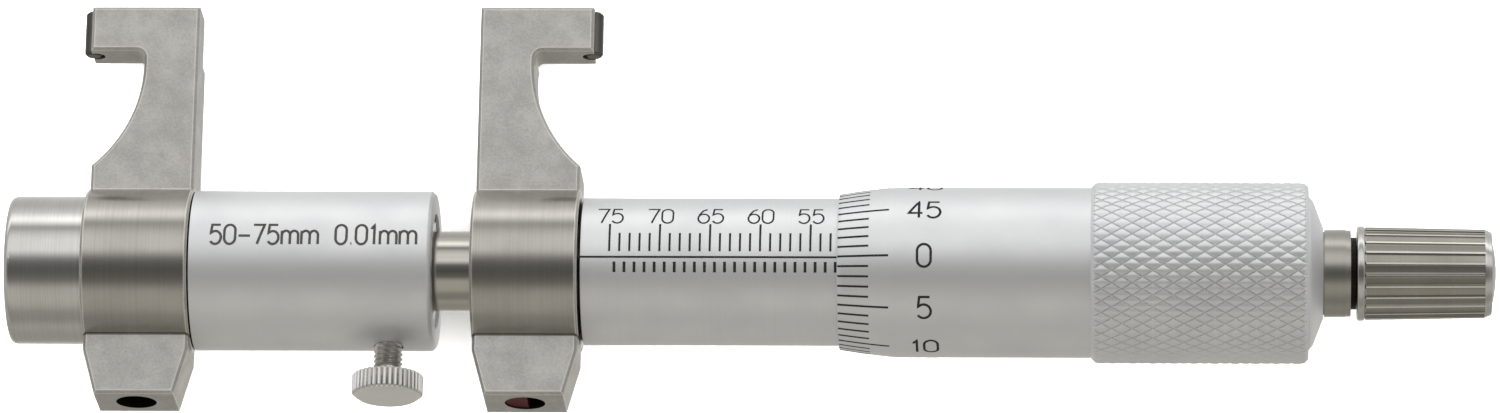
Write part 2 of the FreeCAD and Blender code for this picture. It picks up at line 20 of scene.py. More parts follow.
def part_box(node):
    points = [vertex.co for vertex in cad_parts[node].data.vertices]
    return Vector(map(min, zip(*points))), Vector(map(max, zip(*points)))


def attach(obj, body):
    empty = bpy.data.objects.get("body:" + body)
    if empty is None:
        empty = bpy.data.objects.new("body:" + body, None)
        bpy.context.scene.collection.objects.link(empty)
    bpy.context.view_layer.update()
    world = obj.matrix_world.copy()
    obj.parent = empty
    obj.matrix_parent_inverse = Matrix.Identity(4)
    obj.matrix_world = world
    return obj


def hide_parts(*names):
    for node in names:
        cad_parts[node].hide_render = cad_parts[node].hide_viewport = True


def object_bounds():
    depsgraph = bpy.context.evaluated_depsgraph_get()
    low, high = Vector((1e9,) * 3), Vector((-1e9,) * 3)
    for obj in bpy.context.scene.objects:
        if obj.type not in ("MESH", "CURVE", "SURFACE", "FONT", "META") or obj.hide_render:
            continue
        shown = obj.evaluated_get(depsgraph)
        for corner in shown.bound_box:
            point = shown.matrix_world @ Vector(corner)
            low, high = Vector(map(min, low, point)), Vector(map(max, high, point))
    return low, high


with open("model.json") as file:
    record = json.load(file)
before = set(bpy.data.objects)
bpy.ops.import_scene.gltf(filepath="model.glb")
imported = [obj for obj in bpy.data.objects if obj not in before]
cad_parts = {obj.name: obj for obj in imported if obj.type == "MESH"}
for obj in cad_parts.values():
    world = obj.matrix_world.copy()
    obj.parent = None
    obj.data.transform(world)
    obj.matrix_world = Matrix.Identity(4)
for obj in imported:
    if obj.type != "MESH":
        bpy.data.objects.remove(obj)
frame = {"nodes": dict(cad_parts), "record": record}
cad_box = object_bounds()

LOG = logging.getLogger("inside_micrometer")
MM = 0.001
# All of these are in millimetres: a step too small to see, where two outlines meet, a difference
# that is none, and the reach within which corners of the frame's faces are one
SLIVER = 0.001
SAME = 1e-6
WELD_REACH = 0.002
# Faces of the frame within so many degrees of each other are one flat face
FLAT_ANGLE = 0.4
# Degrees between the points of an engraved curve
ARC_STEP = 15.0
# Share of a side that the round of one corner may take, so that two never meet
ROUND_SHARE = 0.45
# How much depth counts beside levelness where a quad is folded
DEPTH_SHARE = 0.1
# A Mix node's sockets for colours, which have the same names as its sockets for plain values
COLOUR_A, COLOUR_B, COLOUR_OUT = 6, 7, 2
# Where nearly all values of a noise texture lie, and those of two that are added up
NOISE_SPAN = (0.3, 0.7)
NOISE_SUM_SPAN = (0.75, 1.25)

Point = tuple[float, float]
Stroke = list[Point]
Surface = Callable[[float, float, float], Vector]


class Body(Enum):
    """The bodies of the frame that pieces ride on."""

    FRAME = "frame"
    CARRIAGE = "carriage"
    SPINDLE = "spindle"
    RATCHET = "ratchet"
    LOCK_SCREW = "lock_screw"


class Lay(Enum):
    """Which way the tool marks of a metal surface run."""

    RINGS = "rings about the spindle axis"
    GRAINS = "no direction, as blasting leaves it"


def srgb(code: str) -> tuple[float, ...]:
    """Turn a hex colour such as '#b0b1b3' into linear light.

    Args:
        code: Six hex digits after a hash sign.

    Returns:
        Red, green, blue and full opacity.
    """
    values = [int(code[start:start + 2], 16) / 255.0 for start in (1, 3, 5)]
    return (*(v / 12.92 if v <= 0.04045 else ((v + 0.055) / 1.055) ** 2.4 for v in values), 1.0)


def add(tree: NodeTree, kind: str, links: dict | None = None, **settings) -> Node:
    """Add one node with its settings and links.

    Args:
        tree: The node tree that takes the node.
        kind: Blender's name of the node type.
        links: Input name or number to what it takes, which is a plain value, an output
            socket, or a node whose first output is meant.
        **settings: Attributes of the node itself.

    Returns:
        The new node.
    """
    made = tree.nodes.new(kind)
    for name, value in settings.items():
        setattr(made, name, value)
    for name, value in (links or {}).items():
        if isinstance(value, Node):
            value = value.outputs[0]
        if isinstance(value, NodeSocket):
            tree.links.new(value, made.inputs[name])
        else:
            made.inputs[name].default_value = value
    return made


def joint(name: str) -> dict:
    """What the record says of a joint."""
    return next(row for row in frame["record"]["behaviour"]["joints"] if row["name"] == name)


ALONG = Vector((1.0, 0.0, 0.0))
# The jaws' lugs and the lock screw point away from the jaws' arms
LUGS = Vector(joint("lock_pad_slide")["axis"]).normalized()
ARMS = -LUGS
# The side on which the scale is read
READER = ALONG.cross(ARMS).normalized()
# Where the lock screw's axis crosses the spindle axis, in metres
LOCK = ALONG * joint("lock_screw_turn")["pos_m"][0]


def spindle_surface(x: float, radius: float, angle: float) -> Vector:
    """Place a point about the spindle axis.

    Args:
        x: Distance along the spindle, in millimetres.
        radius: Distance from its axis, in millimetres.
        angle: Degrees from the scale's reader towards the jaws' tips.

    Returns:
        The point in metres.
    """
    turn = math.radians(angle)
    return (ALONG * x + (READER * math.cos(turn) + ARMS * math.sin(turn)) * radius) * MM


def lock_surface(out: float, radius: float, angle: float) -> Vector:
    """Place a point about the lock screw's axis.

    Args:
        out: Distance from the spindle axis, in millimetres.
        radius: Distance from the screw's axis, in millimetres.
        angle: Degrees from the spindle's direction towards the scale's reader.

    Returns:
        The point in metres.
    """
    turn = math.radians(angle)
    side = ALONG * math.cos(turn) + READER * math.sin(turn)
    return LOCK + (LUGS * out + side * radius) * MM


@cache
def reach(node: str) -> tuple[float, float]:
    """First and last x of a node, in millimetres."""
    low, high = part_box(node)
    return low.x / MM, high.x / MM


def middle_x(node: str) -> float:
    """Middle of a node along the spindle, in millimetres."""
    return sum(reach(node)) / 2.0


def rounded_outline(corners: Sequence[tuple[float, float, float]], steps: int) -> list[Point]:
    """Round the corners of a closed outline.

    Args:
        corners: Along, across and the radius of each corner, in order.
        steps: Points on each round, less one.

    Returns:
        The outline's points, in the same order.
    """
    outline: list[Point] = []
    for i, (x, y, radius) in enumerate(corners):
        here = Vector((x, y))
        before = Vector(corners[i - 1][:2]) - here
        after = Vector(corners[(i + 1) % len(corners)][:2]) - here
        most = min(before.length, after.length) * ROUND_SHARE
        cut = min(radius / math.tan(before.angle(after) / 2.0), most)
        first = here + before.normalized() * cut
        last = here + after.normalized() * cut
        for t in (step / steps for step in range(steps + 1)):
            spot = first * (1 - t) ** 2 + here * (2 * t * (1 - t)) + last * t**2
            outline.append((spot.x, spot.y))
    return outline


@dataclass
class Shell:
    """Points and faces gathered for one mesh."""

    points: list[Vector] = field(default_factory=list)
    faces: list[tuple[int, ...]] = field(default_factory=list)

    def add_ring(self, points: Sequence[Vector]) -> list[int]:
        """Add a row of points and return their numbers."""
        self.points.extend(points)
        return list(range(len(self.points) - len(points), len(self.points)))

    def join(self, one: Sequence[int], two: Sequence[int]) -> None:
        """Bridge two closed rows with quads, or with a fan where one row is a single point.

        Args:
            one: Numbers of the first row's points.
            two: Numbers of the second row's points.
        """
        count = max(len(one), len(two))
        for k in range(count):
            n = (k + 1) % count
            if len(one) == 1:
                self.faces.append((one[0], two[n], two[k]))
            elif len(two) == 1:
                self.faces.append((one[k], one[n], two[0]))
            else:
                self.faces.append((one[k], one[n], two[n], two[k]))

    def weave(self, one: Sequence[int], two: Sequence[int],
              low: Sequence[float], high: Sequence[float]) -> None:
        """Bridge two closed rows, folding each quad along its most level diagonal.

        Args:
            one: Numbers of the first row's points.
            two: Numbers of the second row's points.
            low: Radii of the first row's points.
            high: Radii of the second row's points.
        """
        count = len(one)
        for k in range(count):
            n = (k + 1) % count
            # Of two level diagonals the deeper one is the floor of a groove
            rising = abs(low[k] - high[n]) + DEPTH_SHARE * (low[k] + high[n])
            falling = abs(low[n] - high[k]) + DEPTH_SHARE * (low[n] + high[k])
            if abs(rising - falling) < SAME:
                self.faces.append((one[k], one[n], two[n], two[k]))
            elif rising < falling:
                self.faces += [(one[k], one[n], two[n]), (one[k], two[n], two[k])]
            else:
                self.faces += [(one[k], one[n], two[k]), (one[n], two[n], two[k])]

    def build(self, name: str, body: Body, slot: str, finish: "Finish",
              crease: float = 35.0) -> Object:
        """Make the mesh object, shade it and let it ride on its body.

        Args:
            name: Name of the piece.
            body: The body that it moves with.
            slot: The record's material slot; it is not used.
            finish: Its finish.
            crease: Degrees above which an edge stays sharp.

        Returns:
            The new object.
        """
        mesh = bpy.data.meshes.new(name)
        mesh.from_pydata([tuple(p) for p in self.points], [], self.faces)
        mesh.materials.append(finish.build())
        mesh.validate()
        for face in mesh.polygons:
            face.use_smooth = True
        mesh.set_sharp_from_angle(angle=math.radians(crease))
        piece = bpy.data.objects.new(name, mesh)
        bpy.context.scene.collection.objects.link(piece)
        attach(piece, body.value)
        return piece


def revolve(profile: Sequence[Point], angles: Sequence[float], place: Surface,
            relief: Callable[[float, float, float], float]) -> Shell:
    """Turn a closed profile about an axis.

    Args:
        profile: Along and radius of each point, so that its last point joins the first.
        angles: Degrees of each column of points, going once round.
        place: Function that puts along, radius and angle in space.
        relief: Function of along, radius and angle that gives the radius to use.

    Returns:
        The closed shell.
    """
    shell = Shell()
    rows, radii = [], []
    for x, radius in profile:
        turn = angles if radius > 0.0 else [0.0]
        radii.append([relief(x, radius, a) if radius > 0.0 else radius for a in turn])
        rows.append(shell.add_ring([place(x, r, a) for r, a in zip(radii[-1], turn)]))
    for i, row in enumerate(rows):
        j = (i + 1) % len(rows)
        if len(row) > 1 and len(rows[j]) > 1:
            shell.weave(row, rows[j], radii[i], radii[j])
        elif len(row) > 1 or len(rows[j]) > 1:
            shell.join(row, rows[j])
    return shell


def even_turn(count: int) -> list[float]:
    """Angles of a number of columns that are spaced evenly."""
    return [360.0 * k / count for k in range(count)]


def axis_distance(tree: NodeTree, where: NodeSocket) -> NodeSocket:
    """Measure the distance of each place from the spindle axis.

    Args:
        tree: The node tree that takes the measure.
        where: Places in metres, fixed to the piece.

    Returns:
        The distance in metres.
    """
    parts = add(tree, "ShaderNodeSeparateXYZ", {0: where})
    flat = add(tree, "ShaderNodeCombineXYZ", {"Y": parts.outputs["Y"], "Z": parts.outputs["Z"]})
    return add(tree, "ShaderNodeVectorMath", {0: flat}, operation="LENGTH").outputs["Value"]


def within(tree: NodeTree, distance: Node | NodeSocket, limit: float, fade: float,
           full: float = 1.0) -> Node:
    """Mask the places that are nearer than a limit.

    Args:
        tree: The node tree that takes the mask.
        distance: How far each place is, in metres.
        limit: The limit, in millimetres.
        fade: How far beyond the limit the mask ends, in millimetres.
        full: Strength of the mask.

    Returns:
        The mask's last node.
    """
    return add(tree, "ShaderNodeMapRange", {
        "Value": distance, "From Min": limit * MM, "From Max": (limit + fade) * MM,
        "To Min": full, "To Max": 0.0})


class Finish:
    """A finish of any kind, which its own class adds to a node tree."""

    name: str

    def shader(self, tree: NodeTree) -> Node:
        """Add this surface to a node tree and return its last node."""
        raise NotImplementedError

    @cache
    def build(self) -> Material:
        """Make the material, once for all the pieces that have it.

        Returns:
            The finished material.
        """
        material = bpy.data.materials.new(self.name)
        material.use_nodes = True
        tree = material.node_tree
        tree.nodes.clear()
        add(tree, "ShaderNodeOutputMaterial", {"Surface": self.shader(tree)})
        return material


@dataclass(frozen=True)
class Metal(Finish):
    """A bare or plated metal surface, by its reflectance, its sheen and its tool marks.

    Args:
        name: Name of the material, by the metal and how its surface was made.
        tone: Reflectance at right angles, as sRGB hex.
        shade: A second tone that the surface drifts to, as sRGB hex.
        roughness: How wide the highlights spread.
        lay: Which way the tool marks run.
        mark_pitch: Distance between tool marks, or the grit size, in millimetres.
        mark_depth: Depth of those marks, in millimetres.
        drift: Size of the patches in which tone and sheen drift, in millimetres.
        sheen_drift: How much roughness the drift adds.
    """

    name: str
    tone: str
    shade: str
    roughness: float
    lay: Lay
    mark_pitch: float
    mark_depth: float
    drift: float = 6.0
    sheen_drift: float = 0.05

    def marks(self, tree: NodeTree, where: NodeSocket) -> Node:
        """Add the height of the tool marks, from 0 to 1.

        Args:
            tree: The node tree that takes them.
            where: Places in metres, fixed to the piece.

        Returns:
            Their last node.
        """
        scale = 1.0 / (self.mark_pitch * MM)
        if self.lay is Lay.GRAINS:
            return add(tree, "ShaderNodeTexNoise", {"Vector": where, "Scale": scale, "Detail": 2.0})
        along = add(tree, "ShaderNodeSeparateXYZ", {0: where})
        ring = add(tree, "ShaderNodeCombineXYZ", {"X": along, "Y": axis_distance(tree, where)})
        return add(tree, "ShaderNodeTexNoise",
                   {"Vector": ring, "Scale": scale, "Detail": 3.0, "Roughness": 0.6})

    def shader(self, tree: NodeTree) -> Node:
        """Add this metal to a node tree.

        Args:
            tree: The node tree that takes it.

        Returns:
            The shader.
        """
        where = add(tree, "ShaderNodeTexCoord").outputs["Object"]
        height = self.marks(tree, where)
        patches = add(tree, "ShaderNodeTexNoise",
                      {"Vector": where, "Scale": 1.0 / (self.drift * MM), "Detail": 3.0})
        blend = add(tree, "ShaderNodeMath", {0: patches, 1: height}, operation="ADD")
        spread = add(tree, "ShaderNodeMapRange", {
            "Value": blend, "From Min": NOISE_SUM_SPAN[0], "From Max": NOISE_SUM_SPAN[1]})
        tone = add(tree, "ShaderNodeMix", {
            0: spread, COLOUR_A: srgb(self.tone), COLOUR_B: srgb(self.shade)}, data_type="RGBA")
        rough = add(tree, "ShaderNodeMapRange", {
            "Value": patches, "From Min": NOISE_SPAN[0], "From Max": NOISE_SPAN[1],
            "To Min": self.roughness, "To Max": self.roughness + self.sheen_drift})
        bump = add(tree, "ShaderNodeBump", {"Height": height, "Distance": self.mark_depth * MM})
        return add(tree, "ShaderNodeBsdfPrincipled", {
            "Base Color": tone.outputs[COLOUR_OUT], "Metallic": 1.0, "Roughness": rough, "Normal": bump})


@dataclass(frozen=True)
class TurnedOver(Finish):
    """A metal surface that differs near the spindle axis: here painted shade in seams and in the ratchet's
    neck.

    Args:
        name: Name of the material.
        outside: The surface beyond that radius.
        inside: The surface within it.
        radius: Where the inner surface stops, in millimetres.
        until: Where it stops along the spindle, in millimetres.
        fade: How softly both stop, in millimetres.
    """

    name: str
    outside: Metal
    inside: Metal
    radius: float
    until: float = math.inf
    fade: float = 0.05

    def shader(self, tree: NodeTree) -> Node:
        """Add both surfaces, the inner one where it is near the axis and before its end.

        Args:
            tree: The node tree that takes them.

        Returns:
            Their mix.
        """
        where = add(tree, "ShaderNodeTexCoord").outputs["Object"]
        mask = within(tree, axis_distance(tree, where), self.radius, self.fade)
        if self.until < math.inf:
            along = add(tree, "ShaderNodeSeparateXYZ", {0: where})
            before = within(tree, along, self.until, self.fade)
            mask = add(tree, "ShaderNodeMath", {0: mask, 1: before}, operation="MULTIPLY")
        return add(tree, "ShaderNodeMixShader",
                   {0: mask, 1: self.outside.shader(tree), 2: self.inside.shader(tree)})


@dataclass(frozen=True)
class JawSteel(Finish):
    """Blasted jaw steel with a turned boss, bright edges that are partly wear and partly a painted
    highlight, and painted shade in its corner and hole.

    Args:
        name: Name of the material.
        blasted: The flat faces.
        boss: The turned boss.
        edge: Bright steel along the edges, hollow ones too: partly wear, partly a painted highlight.
        grime: Painted shade where the lug meets the boss, and in the screw hole.
        hole_x: Where the screw hole's axis is along the spindle, in millimetres.
        hole_radius: Radius of that hole, in millimetres.
        boss_radius: Radius of the boss, in millimetres.
        corner: Distance of the corner at the lug from the spindle axis, in millimetres.
        boss_fade: How softly the boss stops, in millimetres.
        hole_fade: How softly the hole stops, in millimetres.
        edge_width: Reach of the bright line from an edge, in millimetres.
        edge_match: Agreement of the two normals where the bright line is full and where it ends.
        wear: Strength of the bright line on the edge itself.
        grime_width: Half width of the painted shade line, which fades out over as much again.
        grime_share: Strength of that line.
    """

    name: str
    blasted: Metal
    boss: Metal
    edge: Metal
    grime: Metal
    hole_x: float
    hole_radius: float = 2.02
    boss_radius: float = 8.24
    corner: float = 7.62
    boss_fade: float = 0.06
    hole_fade: float = 0.05
    edge_width: float = 0.22
    edge_match: Point = (0.96, 0.998)
    wear: float = 0.95
    grime_width: float = 0.066
    grime_share: float = 0.75

    def worn(self, tree: NodeTree) -> Node:
        """Mask the edges, hollow ones too, where a rounded normal differs from the true one.

        Args:
            tree: The node tree that takes the mask.

        Returns:
            The mask's last node.
        """
        round_off = add(tree, "ShaderNodeBevel", {"Radius": self.edge_width * MM}, samples=6)
        true = add(tree, "ShaderNodeNewGeometry").outputs["Normal"]
        match = add(tree, "ShaderNodeVectorMath", {0: round_off, 1: true}, operation="DOT_PRODUCT")
        return add(tree, "ShaderNodeMapRange", {
            "Value": match.outputs["Value"], "From Min": self.edge_match[0],
            "From Max": self.edge_match[1], "To Min": self.wear, "To Max": 0.0})

    def dirty(self, tree: NodeTree, where: NodeSocket) -> Node:
        """Mask the corner where the lug meets the boss, and the screw hole below it, for the painted
        shade.

        Args:
            tree: The node tree that takes the mask.
            where: Places in metres, fixed to the jaw.

        Returns:
            The mask's last node.
        """
        out = add(tree, "ShaderNodeVectorMath", {0: where, 1: tuple(LUGS)},
                  operation="DOT_PRODUCT").outputs["Value"]
        away = add(tree, "ShaderNodeMath", {0: out, 1: self.corner * MM}, operation="SUBTRACT")
        off = add(tree, "ShaderNodeMath", {0: away}, operation="ABSOLUTE")
        corner = within(tree, off, self.grime_width, self.grime_width, self.grime_share)
        # Places are taken from a point of the hole's axis, and then along that axis is dropped
        start = add(tree, "ShaderNodeVectorMath", {0: where, 1: tuple(ALONG * self.hole_x * MM)},
                    operation="SUBTRACT")
        drop = add(tree, "ShaderNodeVectorMath", {0: tuple(LUGS), "Scale": out}, operation="SCALE")
        flat = add(tree, "ShaderNodeVectorMath", {0: start, 1: drop}, operation="SUBTRACT")
        wide = add(tree, "ShaderNodeVectorMath", {0: flat}, operation="LENGTH").outputs["Value"]
        hole = within(tree, wide, self.hole_radius, self.hole_fade)
        below = add(tree, "ShaderNodeMath", {0: out, 1: self.corner * MM}, operation="GREATER_THAN")
        inside = add(tree, "ShaderNodeMath", {0: hole, 1: below}, operation="MULTIPLY")
        return add(tree, "ShaderNodeMath", {0: corner, 1: inside}, operation="MAXIMUM")

    def shader(self, tree: NodeTree) -> Node:
        """Add the steel, with the bright edges and then the painted shade laid over it.

        Args:
            tree: The node tree that takes it.

        Returns:
            The mix of all four surfaces.
        """
        where = add(tree, "ShaderNodeTexCoord").outputs["Object"]
        boss = within(tree, axis_distance(tree, where), self.boss_radius, self.boss_fade)
        mixed = self.blasted.shader(tree)
        # Over the blasted steel go the turned boss, the bright edges (wear and a painted highlight) and
        # the painted shade
        for mask, over in ((boss, self.boss), (self.worn(tree), self.edge),
                           (self.dirty(tree, where), self.grime)):
            mixed = add(tree, "ShaderNodeMixShader", {0: mask, 1: mixed, 2: over.shader(tree)})
        return mixed


@dataclass(frozen=True)
class Coating(Finish):
    """A paint, lacquer, oxide or felt: a surface that isn't bare metal.

    Args:
        name: Name of the material.
        tone: Colour as sRGB hex.
        shade: A second colour that it drifts to, as sRGB hex.
        roughness: How wide the highlights spread.
        grain: Size of the grain in millimetres.
        depth: Depth of the grain in millimetres.
        specular: Strength of its sheen, where 0.5 is that of plain varnish.
        metallic: 1 where the surface is an oxide on metal.
    """

    name: str
    tone: str
    shade: str
    roughness: float
    grain: float
    depth: float
    specular: float = 0.5
    metallic: float = 0.0

    def shader(self, tree: NodeTree) -> Node:
        """Add this coating to a node tree.

        Args:
            tree: The node tree that takes it.

        Returns:
            The shader.
        """
        where = add(tree, "ShaderNodeTexCoord").outputs["Object"]
        grain = add(tree, "ShaderNodeTexNoise",
                    {"Vector": where, "Scale": 1.0 / (self.grain * MM), "Detail": 4.0})
        tone = add(tree, "ShaderNodeMix", {
            0: grain, COLOUR_A: srgb(self.tone), COLOUR_B: srgb(self.shade)}, data_type="RGBA")
        bump = add(tree, "ShaderNodeBump", {"Height": grain, "Distance": self.depth * MM})
        return add(tree, "ShaderNodeBsdfPrincipled", {
            "Base Color": tone.outputs[COLOUR_OUT], "Metallic": self.metallic, "Roughness": self.roughness,
            "Specular IOR Level": self.specular, "Normal": bump})


# Turning and grinding leave rings 0.01 to 0.03 mm apart, and blasting leaves pits of about 0.1 mm.
# All are drawn two to five times as coarse, because they wouldn't show otherwise

# Hardened steel, bead blasted: soft grey and grainy, with no direction
BLASTED_STEEL = Metal(
    "hardened_steel_bead_blasted", tone="#c8c7c3", shade="#b6b5b1", roughness=0.42,
    lay=Lay.GRAINS, mark_pitch=0.24, mark_depth=0.015, drift=2.2)
# The same steel turned at the boss: it shines in bands along the axis
BOSS_STEEL = Metal(
    "hardened_steel_turned", tone="#bab7b1", shade="#aeaba5", roughness=0.21,
    lay=Lay.RINGS, mark_pitch=0.08, mark_depth=0.0007)
# The same steel, paler: a thin bright line on each edge and on each land of the knob, partly wear and
# partly a painted highlight
WEAR_AND_HIGHLIGHT_STEEL = Metal(
    "steel_edge_wear_and_painted_highlight", tone="#f4f0e8", shade="#e6e2da", roughness=0.38,
    lay=Lay.GRAINS, mark_pitch=0.2, mark_depth=0.001)
# Painted shade for seams, corners, the jaws' screw holes and the ratchet's neck: nearly black and dull, so
# that joints between pieces read as lines
PAINTED_SHADE = Metal(
    "painted_shade_near_black", tone="#3c3a37", shade="#24231f", roughness=0.5,
    lay=Lay.GRAINS, mark_pitch=0.2, mark_depth=0.004)
# Hard chrome plate over fine turning: pale, a little blue, with wide soft highlights
SATIN_CHROME = Metal(
    "hard_chrome_satin_turned", tone="#f3f4f5", shade="#ebecee", roughness=0.49,
    lay=Lay.RINGS, mark_pitch=0.05, mark_depth=0.0006)
# Steel straight from the lathe: fine rings that break the highlight into streaks
TURNED_STEEL = Metal(
    "steel_fine_turned", tone="#d3d2cf", shade="#c4c3bf", roughness=0.17,
    lay=Lay.RINGS, mark_pitch=0.07, mark_depth=0.0012)
# Softer steel, turned and handled: darker, with a duller streak
DULL_STEEL = Metal(
    "steel_turned_dull", tone="#b2b0a9", shade="#a6a49c", roughness=0.27,
    lay=Lay.RINGS, mark_pitch=0.08, mark_depth=0.001)
# The same steel in the floors of the flutes, and on the pawl and the ratchet screw: darker still
FLUTED_STEEL = Metal(
    "steel_fluted_dull", tone="#a8a59d", shade="#9b9890", roughness=0.27,
    lay=Lay.RINGS, mark_pitch=0.08, mark_depth=0.001)
# Centreless-ground steel: close to a mirror, so it shows the room in bands
GROUND_STEEL = Metal(
    "steel_centreless_ground", tone="#bfbcb5", shade="#b3b0a8", roughness=0.08,
    lay=Lay.RINGS, mark_pitch=0.05, mark_depth=0.0004)
# Ground cemented carbide: much darker than the steel round it, with a close grey sheen
CARBIDE = Metal(
    "cemented_carbide_ground", tone="#6a6864", shade="#55534f", roughness=0.26,
    lay=Lay.GRAINS, mark_pitch=0.05, mark_depth=0.001)
# Cut steel in the thread and between the head's teeth, with painted shade: as pale, but patchy and darker
# in places
THREAD_SHADE_STEEL = Metal(
    "screw_thread_painted_shade", tone="#e4e2de", shade="#bcbab6", roughness=0.3,
    lay=Lay.GRAINS, mark_pitch=0.2, mark_depth=0.001)
# Tin bronze, turned: warm and yellow, the one coloured metal
BEARING_BRONZE = Metal(
    "tin_bronze_turned", tone="#c9a46a", shade="#b08a50", roughness=0.25,
    lay=Lay.RINGS, mark_pitch=0.08, mark_depth=0.001)
# Hard-drawn spring wire: plain grey, with a soft sheen
SPRING_STEEL = Metal(
    "spring_wire_drawn", tone="#b6b4b0", shade="#9f9d99", roughness=0.25,
    lay=Lay.GRAINS, mark_pitch=0.1, mark_depth=0.0008)
# Bright nickel plate: pale and shiny, so that each tooth of the screw's head glints
BRIGHT_NICKEL = Metal(
    "nickel_plate_bright", tone="#e6e5e2", shade="#d9d8d5", roughness=0.26,
    lay=Lay.GRAINS, mark_pitch=0.15, mark_depth=0.0006)
# The same plate over a satin face: nearly white, with no clear reflection
NICKEL_FACE = Metal(
    "nickel_plate_satin_face", tone="#f6f5f3", shade="#eeedea", roughness=0.42,
    lay=Lay.GRAINS, mark_pitch=0.15, mark_depth=0.001)
# Blackened screw steel: a dark oxide that still glints like metal on its edges
BLACKENED_STEEL = Coating(
    "screw_steel_blackened", tone="#1b1b1c", shade="#2a2a2b", roughness=0.38,
    grain=0.2, depth=0.002, metallic=1.0)
# Sealing lacquer brushed on thick: deep red, uneven, and dulled by age
SEALING_LACQUER = Coating(
    "sealing_lacquer_brushed_on", tone="#34070b", shade="#1a0305", roughness=0.5,
    grain=0.5, depth=0.02, specular=0.12)
# Pressed wool felt: dark brown and hairy, with no sheen at all
WIPER_FELT = Coating(
    "wool_felt_pressed", tone="#3c3a37", shade="#292724", roughness=0.95,
    grain=0.15, depth=0.05)
# Paint rubbed into engraved lines: flat black, so that the scale reads clearly
GRADUATION_BLACK = Coating(
    "graduation_paint_rubbed_in", tone="#080808", shade="#101010", roughness=0.55,
    grain=0.12, depth=0.002, specular=0.3)
# Laser etching on the chrome: nearly black as well, but a little softer and browner
ETCHED_GREY = Coating(
    "laser_etched_grey", tone="#1e1d1c", shade="#2b2a28", roughness=0.6,
    grain=0.1, depth=0.002, specular=0.3)


def dress(node: str, finish: Finish) -> Object:
    """Give a node of the frame its finish, with the normals that the frame has.

    Args:
        node: Name of the node.
        finish: Its finish.

    Returns:
        The node's object.
    """
    piece = frame["nodes"][node]
    piece.data.materials.clear()
    piece.data.materials.append(finish.build())
    LOG.info("dressed %s with %s", node, finish.name)
    return piece


def soften(node: str, finish: Finish, width: float = 0.05) -> None:
    """Dress a node of the frame and put narrow rounds on its edges.

    Args:
        node: Name of the node.
        finish: Its finish.
        width: Width of the rounds, in millimetres.
    """
    piece = dress(node, finish)
    weld = piece.modifiers.new("weld", "WELD")
    weld.merge_threshold = WELD_REACH * MM
    # The frame's flat faces come as triangles, which a bevel would shade unevenly
    flats = piece.modifiers.new("flats", "DECIMATE")
    flats.decimate_type = "DISSOLVE"
    flats.angle_limit = math.radians(FLAT_ANGLE)
    bevel = piece.modifiers.new("rounds", "BEVEL")
    bevel.width = width * MM
    bevel.segments = 2
    bevel.miter_outer = "MITER_ARC"
    piece.modifiers.new("normals", "WEIGHTED_NORMAL")


def paint(piece: Object, finish: Finish, chosen: Callable[[Vector], bool]) -> None:
    """Give some faces of a piece a second finish.

    Args:
        piece: The piece.
        finish: Its second finish.
        chosen: Whether the face with this middle gets it.
    """
    piece.data.materials.append(finish.build())
    for face in piece.data.polygons:
        if chosen(face.center):
            face.material_index = len(piece.data.materials) - 1


@dataclass
class Ribbon:
    """Engraved lines filled with paint, laid on a round surface as thin closed strips.

    Args:
        width: Width of the lines, in millimetres.
        proud: How far the paint stands above the surface, in millimetres.
        sunk: How far it goes below, in millimetres.
        step: Longest straight run, in millimetres.
    """

    width: float
    proud: float = 0.012
    sunk: float = 0.03
    step: float = 0.25

    def dense(self, stroke: Stroke) -> Stroke:
        """Split long runs of a stroke, so that it follows the round surface.

        Args:
            stroke: Points on the unrolled surface.

        Returns:
            The same stroke with more points.
        """
        points = [stroke[0]]
        for start, end in zip(stroke, stroke[1:]):
            parts = max(1, math.ceil(math.dist(start, end) / self.step))
            for t in (i / parts for i in range(1, parts + 1)):
                points.append((start[0] + (end[0] - start[0]) * t, start[1] + (end[1] - start[1]) * t))
        return points

    def lay(self, shell: Shell, stroke: Stroke, place: Surface) -> None:
        """Add one stroke to a shell.

        Args:
            shell: Takes the points and faces.
            stroke: Points on the unrolled surface, along and around, in millimetres.
            place: Puts along, around and height above the surface in space.
        """
        loop = math.dist(stroke[0], stroke[-1]) < SAME
        points = self.dense(stroke)
        if loop:
            points = points[:-1]
        count = len(points)
        rows = []
        for i, here in enumerate(points):
            before = points[i - 1] if loop or i else here
            after = points[(i + 1) % count] if loop or i < count - 1 else here
            one = Vector((here[0] - before[0], here[1] - before[1]))
            two = Vector((after[0] - here[0], after[1] - here[1]))
            one = one.normalized() if one.length else two.normalized()
            two = two.normalized() if two.length else one
            middle = (one + two).normalized()
            # At a corner the strip is widened, but never to more than twice its width
            lean = max(0.5, middle.dot(one))
            side = Vector((-middle.y, middle.x)) * (self.width / 2.0 / lean)
            left = (here[0] + side.x, here[1] + side.y)
            right = (here[0] - side.x, here[1] - side.y)
            rows.append(shell.add_ring([
                place(*left, self.proud), place(*right, self.proud),
                place(*right, -self.sunk), place(*left, -self.sunk)]))
        for i in range(count if loop else count - 1):
            shell.join(rows[(i + 1) % count], rows[i])
        if not loop:
            shell.faces += [tuple(rows[0]), tuple(reversed(rows[-1]))]


def arc(cx: float, cy: float, rx: float, ry: float, start: float, end: float) -> Stroke:
    """Draw part of an ellipse.

    Args:
        cx: Its middle, along the figure.
        cy: Its middle, up the figure.
        rx: Its radius along the figure.
        ry: Its radius up the figure.
        start: Degrees at which the part starts.
        end: Degrees at which it ends.

    Returns:
        Points on it.
    """
    count = max(4, round(abs(end - start) / ARC_STEP))
    turns = [math.radians(start + (end - start) * i / count) for i in range(count + 1)]
    return [(cx + rx * math.cos(t), cy + ry * math.sin(t)) for t in turns]


